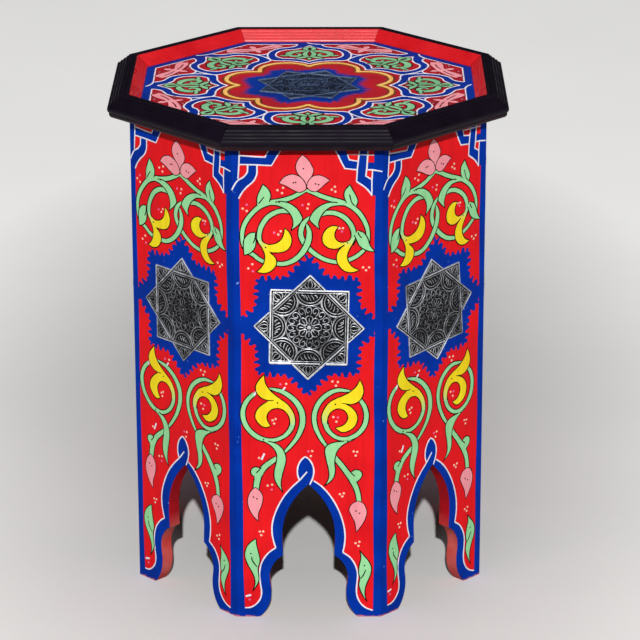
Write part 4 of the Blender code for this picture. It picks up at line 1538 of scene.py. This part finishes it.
def star_mesh(finishes, lips=()):
    """Plate, ridges, boss and bent lips of one star, joined, at the origin."""
    _, outline, edging, stamping = finishes
    boss = dot_mesh([(0, 0, PLATE_TOP, BOSS_RADIUS)], stamping, BOSS_FLATNESS, ONCE_ON_STAR)
    parts = [(ridge_mesh(OUTLINE, outline), 1), (ridge_mesh(EDGING, edging), 2)]
    parts += [(ridge_mesh(STAMPING, stamping), 3), (boss, 3)]
    if lips:
        strokes = [(line, PLATE_TOP, half, LIP_TAPER) for line, half in lips]
        parts.append((brush_mesh(strokes, outline, LIP_FLATNESS, ONCE_ON_STAR), 1))
    work = bmesh.new()
    work.from_mesh(plate_mesh())
    for part, number in parts:
        first = len(work.faces)
        work.from_mesh(part)
        work.faces.ensure_lookup_table()
        for face in work.faces[first:]:
            face.material_index = number
            face.smooth = True
    return mesh_from(work, "star", *finishes)


front_star = star_mesh(LIT_STAR_METAL, FRONT_LIPS)
shaded_star = star_mesh(SHADED_STAR_METAL)
for index, tilt in enumerate(STAR_TILTS):
    across, up = RIGHT_STAR_SHIFT if index == RIGHT_STAR else STAR_SHIFT
    place = Matrix.Translation((across * MM, -FACE, (STAR_HEIGHT + up) * MM))
    upright = Matrix.Rotation(math.pi / 2, 4, "X") @ Matrix.Rotation(math.radians(tilt), 4, "Z")
    plaque = shaded_star.copy() if index else front_star
    plaque.transform(turned(index) @ place @ upright)
    add_piece(f"star_plaque_{index + 1}", plaque, "star_metal", f"side_star_{index + 1}")
plaque = star_mesh(DARK_METAL)
lie = Matrix.Translation((0, 0, TRAY_FLOOR))
plaque.transform(lie @ Matrix.Rotation(math.radians(TRAY_STAR_TILT), 4, "Z"))
add_piece("star_plaque_tray", plaque, "star_metal", "tray_star")
print("faces in a star:", len(shaded_star.polygons))

# %% [markdown]
# ## Tray painting
# The tray was painted blue all over, then red islands were laid on it and lined with white, so the blue
# that is left shows as laced bands: a lobed cartouche on each side, a spandrel in each corner and the
# middle field. One eighth is drawn, with x along the side and y outwards from the middle.

# %% Islands of the tray
TRAY_REACH = 170.5
TRAY_BLUE_TOP = 0.05
TRAY_LINE_HALF = 1.0
BORDER = 161.0
BAND_START = (13, BORDER)
SPANDREL_TIP = 8
TIP_DEPTH = 128.8
CARTOUCHE = (
    ((0, 156), (4, 150.5), (9, 145.5), (14.5, 141.5), (19, 139.5)),
    ((19, 139.5), (25.5, 138.5), (31.5, 133.5), (35, 126), (35.8, 117.5), (33.5, 110), (28.5, 104.5)),
    ((28.5, 104.5), (20, 103.8), (11.5, 101.5), (5, 97.5), (0, 92.5)),
)
BAND_OUTER = (BAND_START, (14.5, 156), (18.5, 151), (25, 148), (32, 145), (37.5, 139.5), (41.5, 132.5),
              (43.8, 125), (44.6, 117), (43.6, 108), (41, 99))
BAND_INNER = ((41, 99), (37.5, 96.2), (31, 95.2), (23, 95), (14, 92.8), (6, 88.8), (0, 83.5))
HOOK = (BAND_START, (8, 161.8), (2, 164), (-3, 168))


def flipped(run):
    """The mirror image of a run, left for right."""
    return [(-x, y) for x, y in run]


def left_and_right(runs):
    """Runs of the right half and their mirror images, as one closed outline."""
    right = shape(*runs)
    return right + [flipped(run[::-1]) for run in reversed(right)]


def swung(points, angle):
    """Points turned clockwise about the middle of the tray."""
    c, s = math.cos(angle), math.sin(angle)
    return [(x * c + y * s, y * c - x * s) for x, y in points]


def about_corner(points):
    """Points mirrored about the corner direction of the eighth."""
    return swung(flipped(points), STEP_ANGLE)


def tray_floor():
    """The whole floor of the tray, out under the frame."""
    reach = TRAY_REACH / math.cos(MITRE_ANGLE)
    angles = [MITRE_ANGLE + index * STEP_ANGLE for index in range(SIDES)]
    return [[(reach * math.cos(angle), reach * math.sin(angle)) for angle in angles]]


corner = (BORDER * math.tan(MITRE_ANGLE), BORDER)
outer, inner = shape(BAND_OUTER, BAND_INNER)
side = [corner] + flow(BAND_OUTER[:SPANDREL_TIP])
tip = flow((side[-1], *swung([(0, TIP_DEPTH)], MITRE_ANGLE), about_corner(side)[-1]))
spandrel = [side, tip, about_corner(side)[::-1]]
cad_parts["top_board"].material_slots[0].material = BLOCK_WOOD
add_films("tray_ground", [(tray_floor(), TRAY_BLUE_TOP)], TRAY_BLUE, ONCE_ON_TRAY)
islands = [(left_and_right(CARTOUCHE), RED_TOP), (spandrel, RED_TOP)]
add_films("tray_islands", islands, TRAY_RED, ON_TRAY)
edge = [BAND_START, corner]
lines = left_and_right(CARTOUCHE) + [outer, inner, tip, flow(HOOK)]
lines += [flipped(outer), flipped(inner), edge, flipped(edge)]
strokes = [(line, BLUE_TOP, TRAY_LINE_HALF, WHITE_TAPER) for line in lines]
add_lines("tray_white", strokes, WHITE, ON_TRAY)

# %% [markdown]
# ## Middle field, halo and rosette
# Round the tray's star the blue was brushed outwards with a dry brush, so it ends in soft streaks. That
# has no outline to cut, so the finish itself works it out: the distance from the middle, less a radius
# that swells eight times round the circle, broken by a noise that changes fast round the circle and
# slowly outwards. An orange line with brown edges closes the field.

# %% Middle field
HALO_RADIUS = 0.0675
HALO_SWELL = 0.005
HALO_SOFT = 0.0085
HALO_MIDDLE = (-0.0035, 0.0, 0.0)
HALO_STREAKS = 22.0
HALO_RAGGED = 0.6
ROSETTE_EDGE_HALF = 4.5
ROSETTE_HALF = 3.2
LOBE_TURN = 360 / SIDES
LOBE = ((0, 72), (4, 78.5), (9, 84.5), (15, 88.5), (22.5, 90.5))


def brushed_halo(tilt):
    """Tray red with a blue star brushed over its middle."""
    finish, tree, shader, place = new_finish("tray_halo")
    spot = vector_sums(tree, "MULTIPLY", vector_sums(tree, "SUBTRACT", place, HALO_MIDDLE), (1, 1, 0))
    reach = node(tree, "ShaderNodeVectorMath", [(0, spot)], operation="LENGTH").outputs["Value"]
    facing = node(tree, "ShaderNodeVectorMath", [(0, spot)], operation="NORMALIZE").outputs[0]
    parts = node(tree, "ShaderNodeSeparateXYZ", [("Vector", spot)]).outputs
    angle = sums(tree, "SUBTRACT", sums(tree, "ARCTAN2", parts["Y"], parts["X"]), tilt)
    swell = sums(tree, "COSINE", sums(tree, "MULTIPLY", angle, SIDES), 0.0)
    rim = sums(tree, "ADD", sums(tree, "MULTIPLY", swell, HALO_SWELL), HALO_RADIUS)
    inside = sums(tree, "DIVIDE", sums(tree, "SUBTRACT", rim, reach), HALO_SOFT)
    streaks = between(tree, noise(tree, facing, HALO_STREAKS, 3.0), -HALO_RAGGED, HALO_RAGGED)
    cover = mask(tree, sums(tree, "ADD", inside, streaks), (0.2, 0.9))
    cloud = noise(tree, place, CLOUD_SCALE, 3.0)
    ground = two_tones(tree, cloud, TRAY_RED_TONES[1], TRAY_RED_TONES[0])
    blue = two_tones(tree, cloud, (0, 40, 132), (2, 52, 150))
    coat(tree, shader, blend(tree, cover, ground, blue), between(tree, cloud, 0.5, 0.7), 0.05)
    return finish


def middle_field():
    """The inner edges of the eight bands, joined into one closed run."""
    lobe = flipped(inner) + inner[-2::-1]
    edge = []
    for index in range(SIDES):
        edge += swung(lobe[:-1], index * STEP_ANGLE)
    return [edge]


def rosette():
    """The eight-lobed line round the star, as one closed run."""
    half = flow(LOBE)
    lobe = half + [(LOBE_TURN - angle, radius) for angle, radius in reversed(half[:-1])]
    edge = []
    for index in range(SIDES):
        for angle, radius in lobe[:-1]:
            turn = math.radians(angle + LOBE_TURN * index)
            edge.append((radius * math.sin(turn), radius * math.cos(turn)))
    return edge + edge[:1]


TRAY_HALO = brushed_halo(math.radians(TRAY_STAR_TILT))
add_films("tray_middle", [(middle_field(), RED_TOP)], TRAY_HALO, ONCE_ON_TRAY)
add_lines("tray_rosette_edge", [(rosette(), RED_TOP, ROSETTE_EDGE_HALF, 1.0)], BROWN, ONCE_ON_TRAY)
add_lines("tray_rosette", [(rosette(), LEVEL_TOPS[1], ROSETTE_HALF, 1.0)], ORANGE, ONCE_ON_TRAY)

# %% [markdown]
# ## Scrolls and sprays on the tray
# A mint arabesque fills each cartouche: a bud at the outer point, two scrolls that leave it, two stems
# that run down to the inner point, and small leaves. A pink spray of two wings, a bud and a top leaf
# fills each corner. One half is drawn and mirrored, as the painter's eye did it.

# %% Arabesques and sprays
TRAY_BLACK_HALF = 0.7
SPRAY_LINE_HALF = 0.55
# A single stroke is (half width, taper).
SLIT_STROKE = (2.0, 0.3)
VEIN_STROKE = (0.8, 0.4)
HALF_ARABESQUE = (
    (0, strand(
        (1.5, 131, 2.2), (7, 133.5, 3.2), (14, 132, 3.8), (20, 127, 4), (22.5, 120, 3.7),
        (20, 114.5, 3.3), (14.5, 113, 2.9), (10.5, 116, 2.5), (10.3, 120.5, 2.1), (13.5, 122.5, 1.4))),
    (1, strand((1.6, 131, 1.8), (4.2, 126, 2.6), (4.8, 119.5, 2.9), (3.4, 114, 2.8), (2.4, 110, 2.4))),
    (3, strand((21.5, 115.5, 2.2), (26, 114.5, 2.4), (31, 115.5, 1.6))),
    (2, shape(
        ((1.2, 113.5), (6, 111.8), (12, 108.3), (16.5, 102.8)),
        ((16.5, 102.8), (10, 102.6), (4.5, 104.8), (1.2, 109)))),
)
MIDDLE_BUDS = (
    (2, shape(
        ((0, 150.5), (6.8, 146.5), (7, 139), (0, 132.5)),
        ((0, 132.5), (-7, 139), (-6.8, 146.5), (0, 150.5)))),
    (0, shape(((0, 108), (3, 104), (0, 97.5)), ((0, 97.5), (-3, 104), (0, 108)))),
)
BUD_SLIT = ((0, 146), (0.3, 141), (0, 136))
SPRAY = (
    ((0, 166), (3.5, 162.5), (3.8, 159), (2.4, 155.6)),
    ((2.4, 155.6), (9, 157.2), (17, 160.4), (25, 162.2), (31, 161)),
    ((31, 161), (31.2, 156.5), (33.5, 152)),
    ((33.5, 152), (26, 148.4), (18, 146.9), (10, 146.1), (3, 145.4)),
    ((3, 145.4), (3.5, 142), (2.2, 139), (0, 136)),
)
HALF_TOUCHES = (
    (0, shape(((7.5, 164), (12, 165.6), (17, 164.6)), ((17, 164.6), (12, 163.2), (7.5, 164)))),
    (0, shape(
        ((8.5, 143.8), (12.5, 143.6), (16.5, 141.4)),
        ((16.5, 141.4), (12.3, 141.3), (8.5, 143.8)))),
)
WING_VEIN = flow(((3, 151), (13, 151.4), (24, 153.6)))


def to_corner(runs):
    """Turn runs drawn along the corner direction into the eighth's axes."""
    return [swung(run, MITRE_ANGLE) for run in runs]


def both_sides(shapes):
    """The shapes of the right half and their mirror images."""
    return shapes + tuple((level, [flipped(run) for run in runs]) for level, runs in shapes)


arabesque = both_sides(HALF_ARABESQUE) + MIDDLE_BUDS
upright_spray = ((0, left_and_right(SPRAY)), *both_sides(HALF_TOUCHES))
spray = [(level, to_corner(runs)) for level, runs in upright_spray]
add_films("tray_mint", layered(arabesque), TRAY_GREEN, ON_TRAY)
add_films("tray_pink", layered(spray), PINK, ON_TRAY)
slits = [(flow(BUD_SLIT), LEVEL_TOPS[2], *SLIT_STROKE)]
veins = [(vein, LEVEL_TOPS[0], *VEIN_STROKE) for vein in to_corner([WING_VEIN, flipped(WING_VEIN)])]
add_lines("tray_black", lined(arabesque, TRAY_BLACK_HALF, OUTLINE_TAPER) + slits, BLACK_LINE, ON_TRAY)
add_lines("tray_dark_red", lined(spray, SPRAY_LINE_HALF, OUTLINE_TAPER) + veins, DARK_RED, ON_TRAY)

# %% [markdown]
# ## Joinery inside
# Glue blocks, cleats and screws are seen only from below through the arches. Their solids are right as
# they are, so they keep their meshes and get a finish.

# %% Finish the inner joinery
for name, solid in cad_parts.items():
    if name.startswith(("corner_block", "top_cleat")):
        solid.material_slots[0].material = BLOCK_WOOD
    if name.startswith("cleat_screw"):
        solid.material_slots[0].material = STEEL
print("inner joinery finished")
